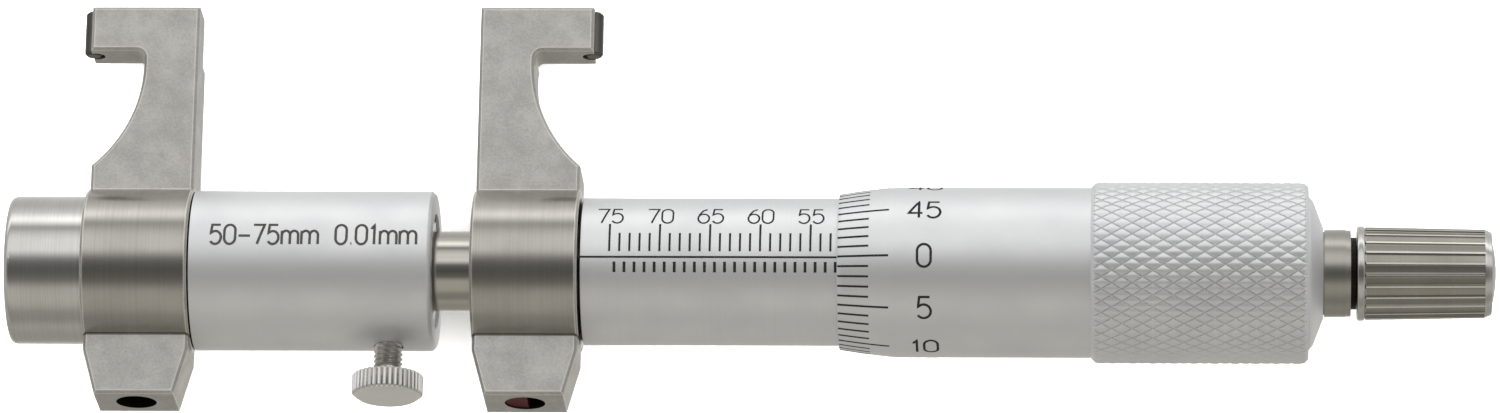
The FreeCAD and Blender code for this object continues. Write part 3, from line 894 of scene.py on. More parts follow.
# Each sign's width in figure widths, and its strokes in a cell one wide and one high
SIGNS: dict[str, tuple[float, list[Stroke]]] = {
    "0": (1.0, [arc(0.5, 0.7, 0.5, 0.3, 0, 180) + arc(0.5, 0.3, 0.5, 0.3, 180, 360) + [(1.0, 0.7)]]),
    "1": (0.6, [[(0.15, 0.78), (0.62, 1.0), (0.62, 0.0)]]),
    "2": (1.0, [arc(0.5, 0.71, 0.48, 0.29, 175, -35) + [(0.0, 0.0), (1.0, 0.0)]]),
    "3": (1.0, [arc(0.5, 0.76, 0.44, 0.24, 150, -90) + arc(0.5, 0.27, 0.5, 0.27, 80, -150)]),
    "4": (1.0, [[(0.74, 0.0), (0.74, 1.0), (0.0, 0.27), (1.0, 0.27)]]),
    "5": (1.0, [[(0.92, 1.0), (0.16, 1.0), (0.07, 0.55)] + arc(0.48, 0.33, 0.52, 0.33, 118, -145)]),
    "6": (1.0, [[(0.8, 1.0), (0.45, 0.88), (0.14, 0.6)] + arc(0.5, 0.31, 0.5, 0.31, 150, 510)]),
    "7": (1.0, [[(0.0, 1.0), (1.0, 1.0), (0.35, 0.0)]]),
    "m": (1.5, [[(0.0, 0.0), (0.0, 0.68)]] + [
        [(left, 0.4)] + arc(0.25 + left, 0.45, 0.25, 0.23, 180, 0) + [(0.5 + left, 0.0)]
        for left in (0.0, 0.5)]),
    "-": (1.05, [[(0.0, 0.42), (1.0, 0.42)]]),
    ".": (0.25, [[(0.3, 0.04), (0.7, 0.04)]]),
    " ": (0.35, []),
}


@dataclass(frozen=True)
class Lettering:
    """Plain engraved figures drawn with one stroke width.

    Args:
        height: Height of the figures, in millimetres.
        width: Width of a figure, in millimetres.
        gap: Space between figures, in millimetres.
        stroke: Width of the strokes, in millimetres.
    """

    height: float
    width: float
    gap: float
    stroke: float

    def write(self, text: str) -> tuple[float, list[Stroke]]:
        """Set a line of figures.

        Args:
            text: The figures.

        Returns:
            The line's length, and its strokes from its lower left corner, in millimetres.
        """
        x, strokes = 0.0, []
        for sign in text:
            share, shape = SIGNS[sign]
            width = self.width * share
            strokes += [[(x + u * width, v * self.height) for u, v in stroke] for stroke in shape]
            x += width + self.gap
        return x - self.gap, strokes


@dataclass
class Engraved:
    """A round surface with painted marks, unrolled at one radius.

    Args:
        radius: That radius, in millimetres.
        lettering: Its figures.
    """

    radius: float
    lettering: Lettering

    def outer(self, x: float) -> float:
        """Radius of the surface at a place along the spindle."""
        return self.radius

    def around(self, angle: float) -> float:
        """Distance round the surface to an angle in degrees."""
        return math.radians(angle) * self.radius

    def place(self, x: float, around: float, height: float) -> Vector:
        """Put a point of the unrolled surface in space."""
        return spindle_surface(x, self.outer(x) + height, math.degrees(around / self.radius))

    def line(self, shell: Shell, width: float, start: Point, end: Point) -> None:
        """Engrave a straight line.

        Args:
            shell: Takes the line.
            width: Its width, in millimetres.
            start: Where it starts, along in millimetres and round in degrees.
            end: Where it ends, in the same way.
        """
        Ribbon(width).lay(shell, [(x, self.around(angle)) for x, angle in (start, end)], self.place)

    def write(self, shell: Shell, text: str, middle: float, low: float, length: float = 0.0) -> None:
        """Engrave a line of figures.

        Args:
            shell: Takes the figures.
            text: The figures.
            middle: Their middle along the spindle, in millimetres.
            low: Their lower edge round the surface, in millimetres.
            length: Length that they are stretched to, or 0 to leave it as it comes.
        """
        natural, strokes = self.lettering.write(text)
        stretch = length / natural if length else 1.0
        left = middle - natural * stretch / 2.0
        for stroke in strokes:
            spots = [(left + u * stretch, low + v) for u, v in stroke]
            Ribbon(self.lettering.stroke).lay(shell, spots, self.place)


@dataclass
class Jaws:
    """The two hooked jaws with their carbide contacts, grub screws and lacquer."""

    contact_round: float = 0.04
    lacquer_round: float = 0.25
    fill_radius: float = 1.95
    fill_width: float = 2.2
    fill_start: float = 12.9
    fill_end: float = 13.66
    fill_dip: float = 0.12
    fill_wave: float = 0.04
    fill_rates: tuple[float, float] = (3.0, 7.3)
    fill_steps: int = 40
    fill_rings: int = 5

    def dress(self) -> None:
        """Give the jaw pieces their finishes, bright edges and painted shade."""
        for side in ("moving", "fixed"):
            dress(f"{side}_jaw", JawSteel(
                f"hardened_steel_blasted_{side}_jaw", BLASTED_STEEL, BOSS_STEEL, WEAR_AND_HIGHLIGHT_STEEL, PAINTED_SHADE,
                middle_x(f"{side}_jaw_screw")))
            soften(f"{side}_contact", CARBIDE, self.contact_round)
            soften(f"{side}_jaw_screw", BLACKENED_STEEL)
        soften("screw_lacquer", SEALING_LACQUER, self.lacquer_round)

    def rim(self, share: float) -> list[Point]:
        """Outline of the lacquer's top: the hole's wall on one side and a wavy edge on the other.

        Args:
            share: How far it is shrunk about its middle.

        Returns:
            Its points, along the spindle and towards the scale's reader.
        """
        cut = self.fill_width - self.fill_radius
        limit = math.acos(cut / self.fill_radius)
        points = []
        for i in range(self.fill_steps):
            turn = limit + (math.tau - 2.0 * limit) * i / (self.fill_steps - 1)
            points.append((self.fill_radius * math.cos(turn), self.fill_radius * math.sin(turn)))
        low, high = points[-1][1], points[0][1]
        for i in range(1, self.fill_steps // 2):
            y = low + (high - low) * 2.0 * i / self.fill_steps
            points.append((cut + self.fill_wave * sum(math.sin(rate * y) for rate in self.fill_rates), y))
        middle = (cut - self.fill_radius) / 2.0
        return [(middle + (x - middle) * share, y * share) for x, y in points]

    def fill(self) -> Object:
        """Run the lacquer up to the mouth of the fixed jaw's screw hole.

        Returns:
            The lacquer, with its top drawn up at the wall.
        """
        axis = middle_x("fixed_jaw_screw")
        shell = Shell()
        levels = [(self.fill_start, 1.0)]
        for share in (1.0 - i / self.fill_rings for i in range(self.fill_rings)):
            levels.append((self.fill_end - self.fill_dip * (1.0 - share**2), share))
        rows = [shell.add_ring([(ALONG * (axis + x) + READER * y + LUGS * out) * MM
                                for x, y in self.rim(share)]) for out, share in levels]
        for one, two in zip(rows, rows[1:]):
            shell.join(one, two)
        shell.faces += [tuple(reversed(rows[0])), tuple(rows[-1])]
        return shell.build("screw_lacquer_fill", Body.FRAME, "sealing_lacquer", SEALING_LACQUER)


@dataclass
class Barrel(Engraved):
    """The carriage tube with its end cap, ring nut, wiper, key and range marking."""

    radius: float = 8.0
    lettering: Lettering = Lettering(height=2.16, width=1.12, gap=0.34, stroke=0.26)
    outer_round: float = 0.06
    groove_radius: float = 7.68
    groove_width: float = 0.25
    marking: str = "50-75mm  0.01mm"
    marking_start: float = 2.3
    marking_length: float = 20.6
    marking_low: float = 1.7

    def dress(self) -> None:
        """Give the barrel's pieces their finishes, with painted shade where the tube meets its jaw."""
        # Below the groove radius and up to just past the jaw, the tube takes painted shade: a dark seam at
        # the jaw
        groove = reach("moving_jaw")[1] + self.groove_width
        soften("carriage_tube", TurnedOver(
            "hard_chrome_satin_tube_shaded_seam", SATIN_CHROME, PAINTED_SHADE, self.groove_radius, groove), self.outer_round)
        soften("end_cap", TURNED_STEEL, self.outer_round)
        soften("tube_ring_nut", TURNED_STEEL)
        soften("guide_key", GROUND_STEEL)
        soften("thrust_bush", BEARING_BRONZE)
        dress("rod_wiper", WIPER_FELT)

    def mark(self) -> Object:
        """Etch the measuring range on the barrel.

        Returns:
            The marking.
        """
        shell = Shell()
        middle = reach("moving_jaw")[1] + self.marking_start + self.marking_length / 2.0
        self.write(shell, self.marking, middle, self.around(self.marking_low), self.marking_length)
        return shell.build("range_marking", Body.CARRIAGE, "graduation_black", ETCHED_GREY)


@dataclass
class Scale(Engraved):
    """The graduated sleeve: reference line, marks each side of it, and its numbers."""

    radius: float = 7.365
    lettering: Lettering = Lettering(height=2.1, width=1.1, gap=0.3, stroke=0.18)
    rod_round: float = 0.06
    groove_radius: float = 7.05
    groove_width: float = 0.25
    first: int = 50
    last: int = 75
    margin: float = 3.1
    line_angle: float = -6.2
    line_inset: float = 0.02
    line_past: float = 1.0
    line_width: float = 0.2
    mark_width: float = 0.21
    half_mark_width: float = 0.28
    half_step: float = 0.5
    upper_start: float = -1.6
    minor_end: float = 13.8
    major_end: float = 22.3
    lower_start: float = -9.9
    lower_end: float = -18.1
    number_low: float = 23.4
    number_step: int = 5

    def dress(self) -> None:
        """Give the sleeve, and the parts inside it, their finishes, with painted shade at the sleeve's
        seam.
        """
        # Below the groove radius and up to just past its start, the sleeve takes painted shade: a dark
        # seam
        groove = reach("graduated_sleeve")[0] + self.groove_width
        soften("graduated_sleeve", TurnedOver(
            "hard_chrome_satin_sleeve_shaded_seam", SATIN_CHROME, PAINTED_SHADE, self.groove_radius, groove))
        soften("guide_rod", GROUND_STEEL, self.rod_round)
        soften("inner_sleeve", GROUND_STEEL)
        soften("take_up_nut", SATIN_CHROME)

    def x_of(self, value: float) -> float:
        """Where a millimetre value is on the sleeve."""
        return reach("graduated_sleeve")[0] + self.margin + self.last - value

    def mark(self) -> Object:
        """Engrave the scale.

        Returns:
            The scale.
        """
        shell = Shell()
        start = reach("graduated_sleeve")[0] + self.line_inset
        end = self.x_of(self.first) + self.line_past
        self.line(shell, self.line_width, (start, self.line_angle), (end, self.line_angle))
        for value in range(self.first, self.last + 1):
            x = self.x_of(value)
            top = self.major_end if value % self.number_step == 0 else self.minor_end
            self.line(shell, self.mark_width, (x, self.upper_start), (x, top))
            if value < self.last:
                half = x - self.half_step
                self.line(shell, self.half_mark_width, (half, self.lower_start), (half, self.lower_end))
        for value in range(self.first, self.last + 1, self.number_step):
            self.write(shell, str(value), self.x_of(value), self.around(self.number_low))
        return shell.build("sleeve_scale", Body.FRAME, "graduation_black", GRADUATION_BLACK)


@dataclass
class Thimble(Engraved):
    """The thimble: bevelled and divided edge, barrel, diamond knurl and cone."""

    radius: float = 8.5
    lettering: Lettering = Lettering(height=2.3, width=1.35, gap=0.42, stroke=0.25)
    bore: float = 7.465
    edge_radius: float = 7.75
    edge_break: float = 0.05
    bevel_length: float = 6.0
    bevel_bow: float = 1.35
    bevel_steps: int = 10
    wall: float = 4.65
    seat_radius: float = 3.0
    knurl_offset: float = 25.2
    knurl_length: float = 21.6
    knurl_radius: float = 9.06
    knurl_chamfer: float = 0.45
    knurl_count: int = 45
    knurl_pitch: float = 2.05
    knurl_steps: int = 12
    knurl_rise: float = 0.02
    groove_depth: float = 0.13
    pillow: float = 0.11
    shoulder_radius: float = 7.6
    shoulder_length: float = 0.1
    cone_start_length: float = 0.35
    cone_start_radius: float = 7.2
    cone_end_radius: float = 4.7
    cone_end_break: float = 0.06
    bore_break: Point = (0.04, 0.02)
    divisions: int = 50
    number_step: int = 5
    zero_angle: float = -6.2
    mark_inset: float = 0.06
    mark_width: float = 0.22
    short_mark: float = 3.14
    long_mark: float = 5.13
    number_middle: float = 8.67

    def edge_x(self) -> float:
        """Where the bevelled edge is."""
        return reach("thimble")[0]

    def outer(self, x: float) -> float:
        """Radius of the bevel and the barrel, with the bevel a little bowed."""
        t = min(1.0, max(0.0, (x - self.edge_x()) / self.bevel_length))
        return self.radius - (self.radius - self.edge_radius) * (1.0 - t) ** self.bevel_bow

    def knurl(self, x: float, angle: float) -> float:
        """Depth of the knurl below its crests, from two crossed sets of grooves.

        Args:
            x: Distance along the spindle, in millimetres.
            angle: Degrees round it.

        Returns:
            The depth in millimetres.
        """
        a = (x - self.edge_x() - self.knurl_offset) / self.knurl_pitch
        b = angle * self.knurl_count / 360.0
        across = [abs((v + 0.5) % 1.0 - 0.5) for v in (a + b, a - b)]
        crown = math.sin(math.pi * across[0]) * math.sin(math.pi * across[1])
        groove = max(0.0, 1.0 - min(across) * self.knurl_steps)
        return self.pillow * (1.0 - crown) + self.groove_depth * groove

    def band(self) -> tuple[float, float]:
        """First and last x of the knurled band."""
        start = self.edge_x() + self.knurl_offset
        return start, start + self.knurl_length

    def relief(self, x: float, radius: float, angle: float) -> float:
        """Cut the knurl in, where the profile is on the band's crests.

        Args:
            x: Distance along the spindle, in millimetres.
            radius: The profile's radius there.
            angle: Degrees round the spindle.

        Returns:
            The radius with the knurl and the band's chamfers.
        """
        start, end = self.band()
        if radius <= self.radius or not start <= x <= end:
            return radius
        side = min(x - start, end - x) + self.knurl_radius - self.knurl_chamfer
        return max(self.radius, min(side, self.knurl_radius - self.knurl(x, angle)))

    def profile(self) -> list[Point]:
        """Closed profile of the thimble, from the bore out over the cone and back to the edge.

        Returns:
            Along and radius of each point, in millimetres.
        """
        edge, end = reach("thimble")
        start, stop = self.band()
        shoulder = stop + self.shoulder_length
        points = [
            (edge, self.bore + self.bore_break[1]), (edge + self.bore_break[0], self.bore),
            (end - self.wall, self.bore), (end - self.wall, self.seat_radius), (end, self.seat_radius),
            (end, self.cone_end_radius - self.cone_end_break),
            (end - self.edge_break, self.cone_end_radius),
            (shoulder + self.cone_start_length, self.cone_start_radius),
            (shoulder, self.shoulder_radius), (stop + self.edge_break, self.shoulder_radius),
            (stop, self.shoulder_radius + self.edge_break), (stop, self.radius)]
        step = self.knurl_pitch / self.knurl_steps
        rows = [start + step * i for i in range(int(self.knurl_length / step))] + [stop]
        points += [(x, self.knurl_radius) for x in reversed(rows)]
        points += [(start, self.radius + self.knurl_rise), (start - self.knurl_rise, self.radius)]
        bevel = [edge + self.bevel_length * i / self.bevel_steps for i in range(1, self.bevel_steps + 1)]
        points += [(x, self.outer(x)) for x in reversed(bevel)]
        points += [(edge + self.edge_break, self.edge_radius), (edge, self.edge_radius - self.edge_break)]
        return points

    def build(self) -> Object:
        """Turn and knurl the thimble.

        Returns:
            The thimble.
        """
        shell = revolve(self.profile(), even_turn(self.knurl_count * self.knurl_steps),
                        spindle_surface, self.relief)
        piece = shell.build("thimble_knurled", Body.SPINDLE, "satin_chrome", SATIN_CHROME)
        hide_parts("thimble")
        return piece

    def mark(self) -> Object:
        """Engrave the fifty divisions and their numbers.

        Returns:
            The divisions.
        """
        shell = Shell()
        edge = self.edge_x()
        for k in range(self.divisions):
            angle = self.zero_angle - 360.0 * k / self.divisions
            numbered = k % self.number_step == 0
            end = edge + (self.long_mark if numbered else self.short_mark)
            self.line(shell, self.mark_width, (edge + self.mark_inset, angle), (end, angle))
            if numbered:
                low = self.around(angle) - self.lettering.height / 2.0
                self.write(shell, str(k), edge + self.number_middle, low)
        return shell.build("thimble_divisions", Body.SPINDLE, "graduation_black", GRADUATION_BLACK)


@dataclass
class Ratchet:
    """The ratchet stop: body, fluted knob, screw, pawl and spring."""

    outer_round: float = 0.06
    pawl_round: float = 0.03
    neck_radius: float = 3.8
    rim_length: float = 0.9
    rim_radius: float = 4.727
    rim_round: float = 0.3
    rim_steps: int = 4
    rim_edge: float = 0.02
    start_radius: float = 4.62
    end_radius: float = 4.42
    flute_length: float = 11.8
    flute_start: float = 0.4
    flute_rows: int = 4
    face_radius: float = 4.1
    edge_break: float = 0.05
    # Along and down of the small round where the bevel starts and ends
    bevel_break: Point = (0.12, 0.03)
    # Length of the step from the flutes' floor to the bevel
    end_step: float = 0.01
    flutes: int = 24
    flute_depth: float = 0.2
    flute_land: float = 0.17
    first_land: float = -4.9
    # Share of a flute, from its middle, that is flat floor before its corners rise
    flute_floor: float = 0.6
    # Share of a flute's depth, from its crest, that counts as the land
    land_share: float = 0.12
    flute_columns: tuple[float, ...] = (0.0, 0.06, 0.14, 0.2, 0.5, 0.8, 0.86, 0.94)
    bore: float = 2.55
    bearing_length: float = 2.7
    cavity: float = 3.4
    crease: float = 28.0

    def dress(self) -> None:
        """Give the ratchet's turned pieces their finishes, with painted shade in the neck."""
        # Within the neck radius the ratchet body takes painted shade, its inner faces too
        soften("ratchet_body", TurnedOver("steel_turned_dull_painted_shade_neck", DULL_STEEL, PAINTED_SHADE,
                                          self.neck_radius), self.outer_round)
        soften("ratchet_pawl", FLUTED_STEEL, self.pawl_round)
        soften("ratchet_screw", FLUTED_STEEL, self.outer_round)
        dress("ratchet_spring", SPRING_STEEL)
        soften("spindle", GROUND_STEEL)
        soften("spindle_retainer", GROUND_STEEL)

    def half_land(self) -> float:
        """Half of a land between two flutes, in degrees."""
        return math.degrees(self.flute_land / self.end_radius) / 2.0

    def flute_x(self) -> float:
        """Where the flutes start."""
        return reach("ratchet_knob")[0] + self.rim_length

    def share(self, x: float) -> float:
        """How far along the flutes a place is, from 0 to 1."""
        return (x - self.flute_x()) / self.flute_length

    def crest(self, x: float) -> float:
        """Radius of the lands, which taper towards the bevel."""
        return self.start_radius + (self.end_radius - self.start_radius) * self.share(x)

    def angles(self) -> list[float]:
        """Columns that follow each flute from land to land.

        Returns:
            Their angles in degrees.
        """
        pitch, land = 360.0 / self.flutes, self.half_land()
        turn = []
        for k in range(self.flutes):
            start = pitch * k + self.first_land
            turn.append(start - land)
            turn += [start + land + (pitch - 2.0 * land) * share for share in self.flute_columns]
        return turn

    def relief(self, x: float, radius: float, angle: float) -> float:
        """Cut the flutes in, between the rim and the bevel.

        Args:
            x: Distance along the spindle, in millimetres.
            radius: The outline's radius there.
            angle: Degrees round the spindle.

        Returns:
            The radius with the flutes.
        """
        bevel = self.flute_x() + self.flute_length
        if not self.flute_x() < x <= bevel + SLIVER or radius <= self.cavity + 2.0 * self.edge_break:
            return radius
        half = 180.0 / self.flutes
        away = (angle - self.first_land + half) % (2.0 * half) - half
        middle = (half - abs(away)) / (half - self.half_land())
        corner = min(1.0, max(0.0, middle - self.flute_floor) / (1.0 - self.flute_floor))
        return min(radius, self.crest(x) - self.flute_depth * math.sqrt(1.0 - corner**2))

    def on_land(self, place: Vector) -> bool:
        """Whether a place is on a land between two flutes."""
        x, radius = place.x / MM, math.hypot(place.y, place.z) / MM
        return 0.0 < self.share(x) < 1.0 and radius > self.crest(x) - self.flute_depth * self.land_share

    def outline(self) -> list[Point]:
        """Closed outline of the knob, from the bore out over the rim to the face and cavity.

        Returns:
            Along and radius of each point, in millimetres.
        """
        start, end = reach("ratchet_knob")
        flute = self.flute_x()
        bevel = flute + self.flute_length
        run, drop = self.bevel_break
        points = rounded_outline([
            (start, self.bore, self.edge_break), (start, self.rim_radius, self.rim_round),
            (flute, self.rim_radius, self.rim_round)], self.rim_steps)
        rows = [self.flute_length * k / self.flute_rows for k in range(1, self.flute_rows + 1)]
        points += [(flute + row, self.start_radius) for row in (SLIVER, self.flute_start, *rows)]
        points += [(bevel + self.end_step, self.end_radius), (bevel + run, self.end_radius - drop),
                   (end - self.edge_break, self.face_radius + drop),
                   (end, self.face_radius - self.edge_break), (end, self.cavity + self.edge_break),
                   (end - self.edge_break, self.cavity), (start + self.bearing_length, self.cavity),
                   (start + self.bearing_length, self.bore)]
        return points

    def build(self) -> Object:
        """Turn and flute the knob, polish its rim and its face, and paint its lands bright, partly as wear
        and partly as a painted highlight.

        Returns:
            The knob.
        """
        shell = revolve(self.outline(), self.angles(), spindle_surface, self.relief)
        piece = shell.build("ratchet_knob_fluted", Body.RATCHET, "turned_steel", FLUTED_STEEL,
                            self.crease)
        rim = (self.flute_x() + self.rim_edge) * MM
        face = (self.flute_x() + self.flute_length) * MM
        paint(piece, TURNED_STEEL, lambda place: place.x < rim or place.x > face)
        # The lands take the pale edge steel: wear and a painted highlight along each crest
        paint(piece, WEAR_AND_HIGHLIGHT_STEEL, self.on_land)
        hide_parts("ratchet_knob")
        return piece


@dataclass
class LockScrew:
    """The lock screw: thread, undercut and straight-knurled head."""

    tip: float = 5.42
    thread_radius: float = 1.45
    thread_depth: float = 0.27
    thread_pitch: float = 0.5
    thread_steps: int = 8
    undercut_radius: float = 1.15
    undercut_length: float = 0.8
    head_start: float = 11.0
    head_radius: float = 3.56
    head_length: float = 1.85
    head_break: float = 0.12
    head_slope: float = 0.02
    bevel_length: float = 0.5
    # Share of the bevel over which the teeth run out
    runout: float = 0.4
    face_radius: float = 2.9
    face_break: float = 0.06
    face_lip: float = 0.05
    teeth: int = 40
    tooth_depth: float = 0.24
    tooth_steps: int = 6
    crease: float = 32.0
    # How steeply a groove falls, where 2 would leave no flat between two grooves
    groove_slope: float = 3.2
    # Share of a tooth's depth below which the shade is painted, and how far from the head's underside
    shade_share: float = 0.5
    shade_start: float = 0.1

    def dress(self) -> None:
        """Give the pad under the screw its finish."""
        soften("lock_pad", BEARING_BRONZE)

    def neck(self) -> float:
        """Where the thread ends, measured from the spindle axis."""
        return self.head_start - self.undercut_length

    def side_end(self) -> float:
        """Where the head's side ends and its bevel starts."""
        return self.head_start + self.head_length

    def relief(self, out: float, radius: float, angle: float) -> float:
        """Cut in the thread and the head's teeth.

        Args:
            out: Distance from the spindle axis, in millimetres.
            radius: The profile's radius there.
            angle: Degrees round the screw.

        Returns:
            The radius with the thread or the teeth.
        """
        if radius == self.thread_radius and out < self.neck():
            turn = (out / self.thread_pitch - angle / 360.0) % 1.0
            return radius - self.thread_depth * abs(2.0 * turn - 1.0)
        if radius > self.face_radius and out > self.head_start:
            turn = (angle * self.teeth / 360.0) % 1.0
            groove = max(0.0, 1.0 - abs(turn - 0.5) * self.groove_slope)
            return min(radius, self.head_radius - self.tooth_depth * groove)
        return radius

    def spot(self, place: Vector) -> Point:
        """Measure a place on the screw.

        Args:
            place: The place, in metres.

        Returns:
            Its distances from the spindle axis and from the screw's axis, in millimetres.
        """
        away = (place - LOCK) / MM
        out = away.dot(LUGS)
        return out, (away - LUGS * out).length

    def in_shade(self, place: Vector) -> bool:
        """Find the thread and the grooves of the head, where shade is painted.

        Args:
            place: A place on the screw, in metres.

        Returns:
            Whether it is there.
        """
        out, radius = self.spot(place)
        side = self.head_start + self.shade_start < out < self.side_end()
        floor = self.head_radius - self.tooth_depth * self.shade_share
        return out < self.head_start or (side and radius < floor)

    def on_face(self, place: Vector) -> bool:
        """Whether a place is on the head's face or the smooth part of its bevel."""
        return self.spot(place)[0] > self.side_end() + self.bevel_length * self.runout

    def profile(self) -> list[Point]:
        """Profile from the tip to the middle of the head's face.

        Returns:
            Out and radius of each point, in millimetres.
        """
        neck, side = self.neck(), self.side_end()
        face = side + self.bevel_length
        rows = round((neck - self.tip) / self.thread_pitch * self.thread_steps)
        points = [(self.tip, 0.0), (self.tip, self.thread_radius - self.thread_depth)]
        points += [(self.tip + (neck - self.tip) * i / rows, self.thread_radius) for i in range(rows)]
        points += [(neck, self.undercut_radius), (self.head_start, self.undercut_radius),
                   (self.head_start, self.face_radius),
                   (self.head_start + self.head_slope, self.head_radius - self.head_break),
                   (self.head_start + self.head_break, self.head_radius), (side, self.head_radius),
                   (side + self.bevel_length * self.runout, self.head_radius - self.tooth_depth),
                   (face - self.face_break, self.face_radius + self.face_break),
                   (face, self.face_radius - self.face_lip),
                   (face, self.face_radius - 2.0 * self.face_lip), (face, 0.0)]
        return points

    def build(self) -> Object:
        """Turn, thread and knurl the screw.

        Returns:
            The screw.
        """
        shell = revolve(self.profile(), even_turn(self.teeth * self.tooth_steps),
                        lock_surface, self.relief)
        piece = shell.build("lock_screw_threaded", Body.LOCK_SCREW, "bright_nickel", BRIGHT_NICKEL,
                            self.crease)
        # The thread and the grooves between the teeth take painted shade
        paint(piece, THREAD_SHADE_STEEL, self.in_shade)
        paint(piece, NICKEL_FACE, self.on_face)
        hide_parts("lock_screw")
        return piece


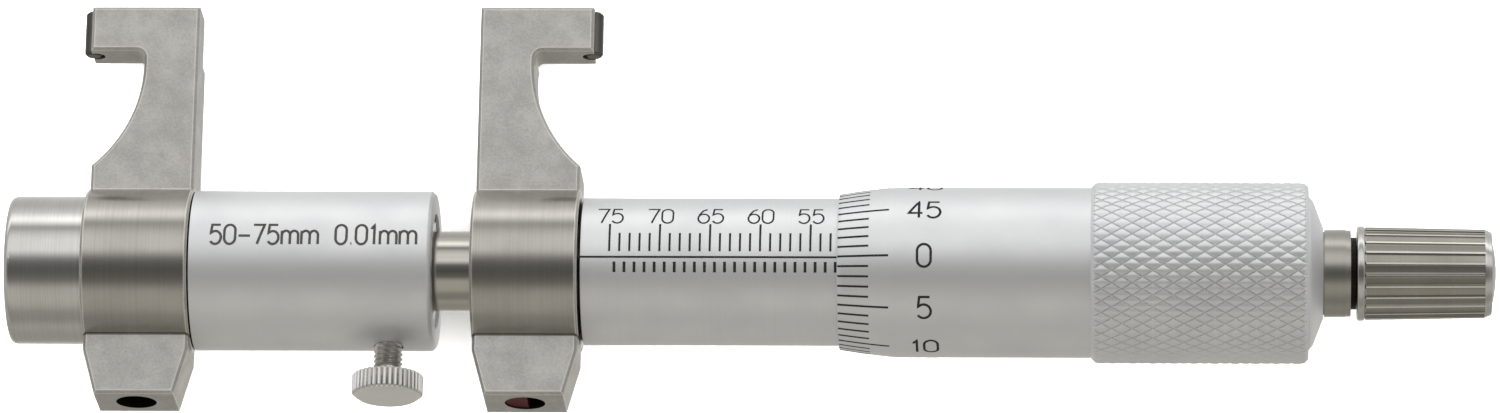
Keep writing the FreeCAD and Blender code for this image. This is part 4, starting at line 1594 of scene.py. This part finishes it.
@dataclass
class Studio:
    """Pale table, soft light all round and the camera that looks almost straight down."""

    # The camera's place and turn, in millimetres and degrees from the arms' normal
    distance: float = 910.3
    droop_view: float = 17.838
    aim_x: float = 119.745
    pitch: float = 0.413
    yaw: float = 2.864
    roll: float = 0.119
    # Focal length and width of the photograph, in pixels
    focal_pixels: float = 9107.9
    frame_width: int = 1500
    # Sizes and places of the studio are in metres, as Blender takes them
    clip_start: float = 0.05
    table_size: float = 3.0
    # White laminate: pale and even, so that nothing but a soft shadow shows round the instrument
    table_tone: str = "#f2f2f1"
    table_roughness: float = 0.8
    backdrop_tone: str = "#f4f4f3"
    lamp_size: Point = (2.4, 2.0)
    lamp_place: tuple[float, float, float] = (0.075, 0.15, 0.9)
    lamp_power: float = 75.0
    end_light: float = 0.5
    # Where the tent's ends start and are full, as the share of a direction that lies along X
    end_reach: Point = (0.6, 0.95)
    # How much less blue than green the light has from the lugs' side and from the arms' side, and
    # the share of that by which it has more red
    warmth: Point = (0.08, 0.01)
    red_share: float = 0.4
    # Light that comes from each side, by degrees from straight up towards the jaws' tips
    tent: tuple[Point, ...] = (
        (-180.0, 0.90), (-165.0, 0.70), (-150.0, 0.42), (-120.0, 0.42), (-100.0, 0.50), (-85.0, 0.34),
        (-70.0, 0.36), (-58.0, 0.53), (-47.0, 0.57), (-31.0, 0.56), (-23.0, 0.36),
        (-17.0, 0.19), (-11.0, 0.17), (-5.0, 0.13), (1.0, 0.12), (7.0, 0.15), (13.0, 0.18),
        (18.0, 0.32), (23.0, 0.70), (30.0, 1.15), (38.0, 1.06), (47.0, 1.08), (58.0, 0.86),
        (70.0, 0.34), (85.0, 1.85), (100.0, 0.92), (120.0, 0.66), (150.0, 0.76), (180.0, 0.80),
    )

    def table(self) -> None:
        """Lay the table at the lowest point of the instrument."""
        half, low = self.table_size / 2.0, cad_box[0].z
        mesh = bpy.data.meshes.new("table_top")
        corners = [(-half, -half, low), (half, -half, low), (half, half, low), (-half, half, low)]
        mesh.from_pydata(corners, [], [(0, 1, 2, 3)])
        material = bpy.data.materials.new("table_white_laminate")
        material.use_nodes = True
        tree = material.node_tree
        tree.nodes.clear()
        laminate = add(tree, "ShaderNodeBsdfPrincipled",
                       {"Base Color": srgb(self.table_tone), "Roughness": self.table_roughness})
        add(tree, "ShaderNodeOutputMaterial", {"Surface": laminate})
        mesh.materials.append(material)
        top = bpy.data.objects.new("table_top", mesh)
        bpy.context.scene.collection.objects.link(top)
        # The metal mirrors the tent below the horizon as well, and not the table
        top.visible_glossy = False

    def light(self) -> None:
        """Hang the tent round the table, with one broad lamp for the table itself."""
        world = bpy.data.worlds.new("light_tent")
        bpy.context.scene.world = world
        world.use_nodes = True
        tree = world.node_tree
        tree.nodes.clear()
        where = add(tree, "ShaderNodeTexCoord").outputs["Generated"]
        parts = add(tree, "ShaderNodeSeparateXYZ", {0: where})
        turn = add(tree, "ShaderNodeMath", {0: parts.outputs["Y"], 1: parts.outputs["Z"]},
                   operation="ARCTAN2")
        share = add(tree, "ShaderNodeMapRange",
                    {"Value": turn, "From Min": -math.pi, "From Max": math.pi})
        ramp = add(tree, "ShaderNodeValToRGB", {"Fac": share})
        stops = ramp.color_ramp.elements
        while len(stops) < len(self.tent):
            stops.new(0.5)
        for stop, (degrees, level) in zip(stops, self.tent):
            stop.position = (degrees + 180.0) / 360.0
            warm = self.warmth[0] if degrees < 0.0 else self.warmth[1]
            stop.color = (level * (1.0 + warm * self.red_share), level, level * (1.0 - warm), 1.0)
        side = add(tree, "ShaderNodeMath", {0: parts}, operation="ABSOLUTE")
        ends = add(tree, "ShaderNodeMapRange", {
            "Value": side, "From Min": self.end_reach[0], "From Max": self.end_reach[1]})
        lit = add(tree, "ShaderNodeMix", {
            0: ends, COLOUR_A: ramp, COLOUR_B: (*[self.end_light] * 3, 1.0)}, data_type="RGBA")
        tent = add(tree, "ShaderNodeBackground", {"Color": lit.outputs[COLOUR_OUT]})
        plain = add(tree, "ShaderNodeBackground", {"Color": srgb(self.backdrop_tone)})
        # The camera itself sees an even backdrop in place of the tent
        seen = add(tree, "ShaderNodeLightPath").outputs["Is Camera Ray"]
        mixed = add(tree, "ShaderNodeMixShader", {0: seen, 1: tent, 2: plain})
        add(tree, "ShaderNodeOutputWorld", {"Surface": mixed})
        lamp = bpy.data.lights.new("table_lamp", "AREA")
        lamp.shape = "RECTANGLE"
        lamp.size, lamp.size_y = self.lamp_size
        lamp.energy = self.lamp_power
        hung = bpy.data.objects.new("table_lamp", lamp)
        hung.location = self.lamp_place
        hung.visible_glossy = False
        bpy.context.scene.collection.objects.link(hung)

    def camera(self) -> None:
        """Set the camera where the photograph was taken from."""
        down = math.radians(self.droop_view)
        look = math.radians(self.droop_view + self.pitch)
        yaw, roll = math.radians(self.yaw), math.radians(self.roll)
        place = (ALONG * self.aim_x + (READER * math.cos(down) - ARMS * math.sin(down))
                 * self.distance) * MM
        ahead = ARMS * math.sin(look) - READER * math.cos(look)
        up = ARMS * math.cos(look) + READER * math.sin(look)
        right = ALONG * math.cos(yaw) + ahead * math.sin(yaw)
        ahead = ahead * math.cos(yaw) - ALONG * math.sin(yaw)
        level = right * math.cos(roll) + up * math.sin(roll)
        up = up * math.cos(roll) - right * math.sin(roll)
        lens = bpy.data.cameras.new("camera")
        lens.sensor_fit = "HORIZONTAL"
        lens.lens = self.focal_pixels / self.frame_width * lens.sensor_width
        lens.clip_start = self.clip_start
        seen = bpy.data.objects.new("camera", lens)
        turn = Matrix((level, up, -ahead)).transposed()
        seen.matrix_world = Matrix.Translation(place) @ turn.to_4x4()
        bpy.context.scene.collection.objects.link(seen)
        bpy.context.scene.camera = seen


def main() -> None:
    """Build every piece in order and report it."""
    logging.basicConfig(level=logging.INFO, format="%(message)s")
    jaws, barrel, scale, thimble = Jaws(), Barrel(), Scale(), Thimble()
    ratchet, lock, studio = Ratchet(), LockScrew(), Studio()
    for group in (jaws, barrel, scale, ratchet, lock):
        group.dress()
    for make in (barrel.mark, scale.mark, thimble.build, thimble.mark, ratchet.build, lock.build,
                 jaws.fill):
        piece = make()
        LOG.info("made %s with %d faces", piece.name, len(piece.data.polygons))
    studio.table()
    studio.light()
    studio.camera()
    bpy.context.scene.view_settings.view_transform = "Standard"


if __name__ == "__main__":
    main()
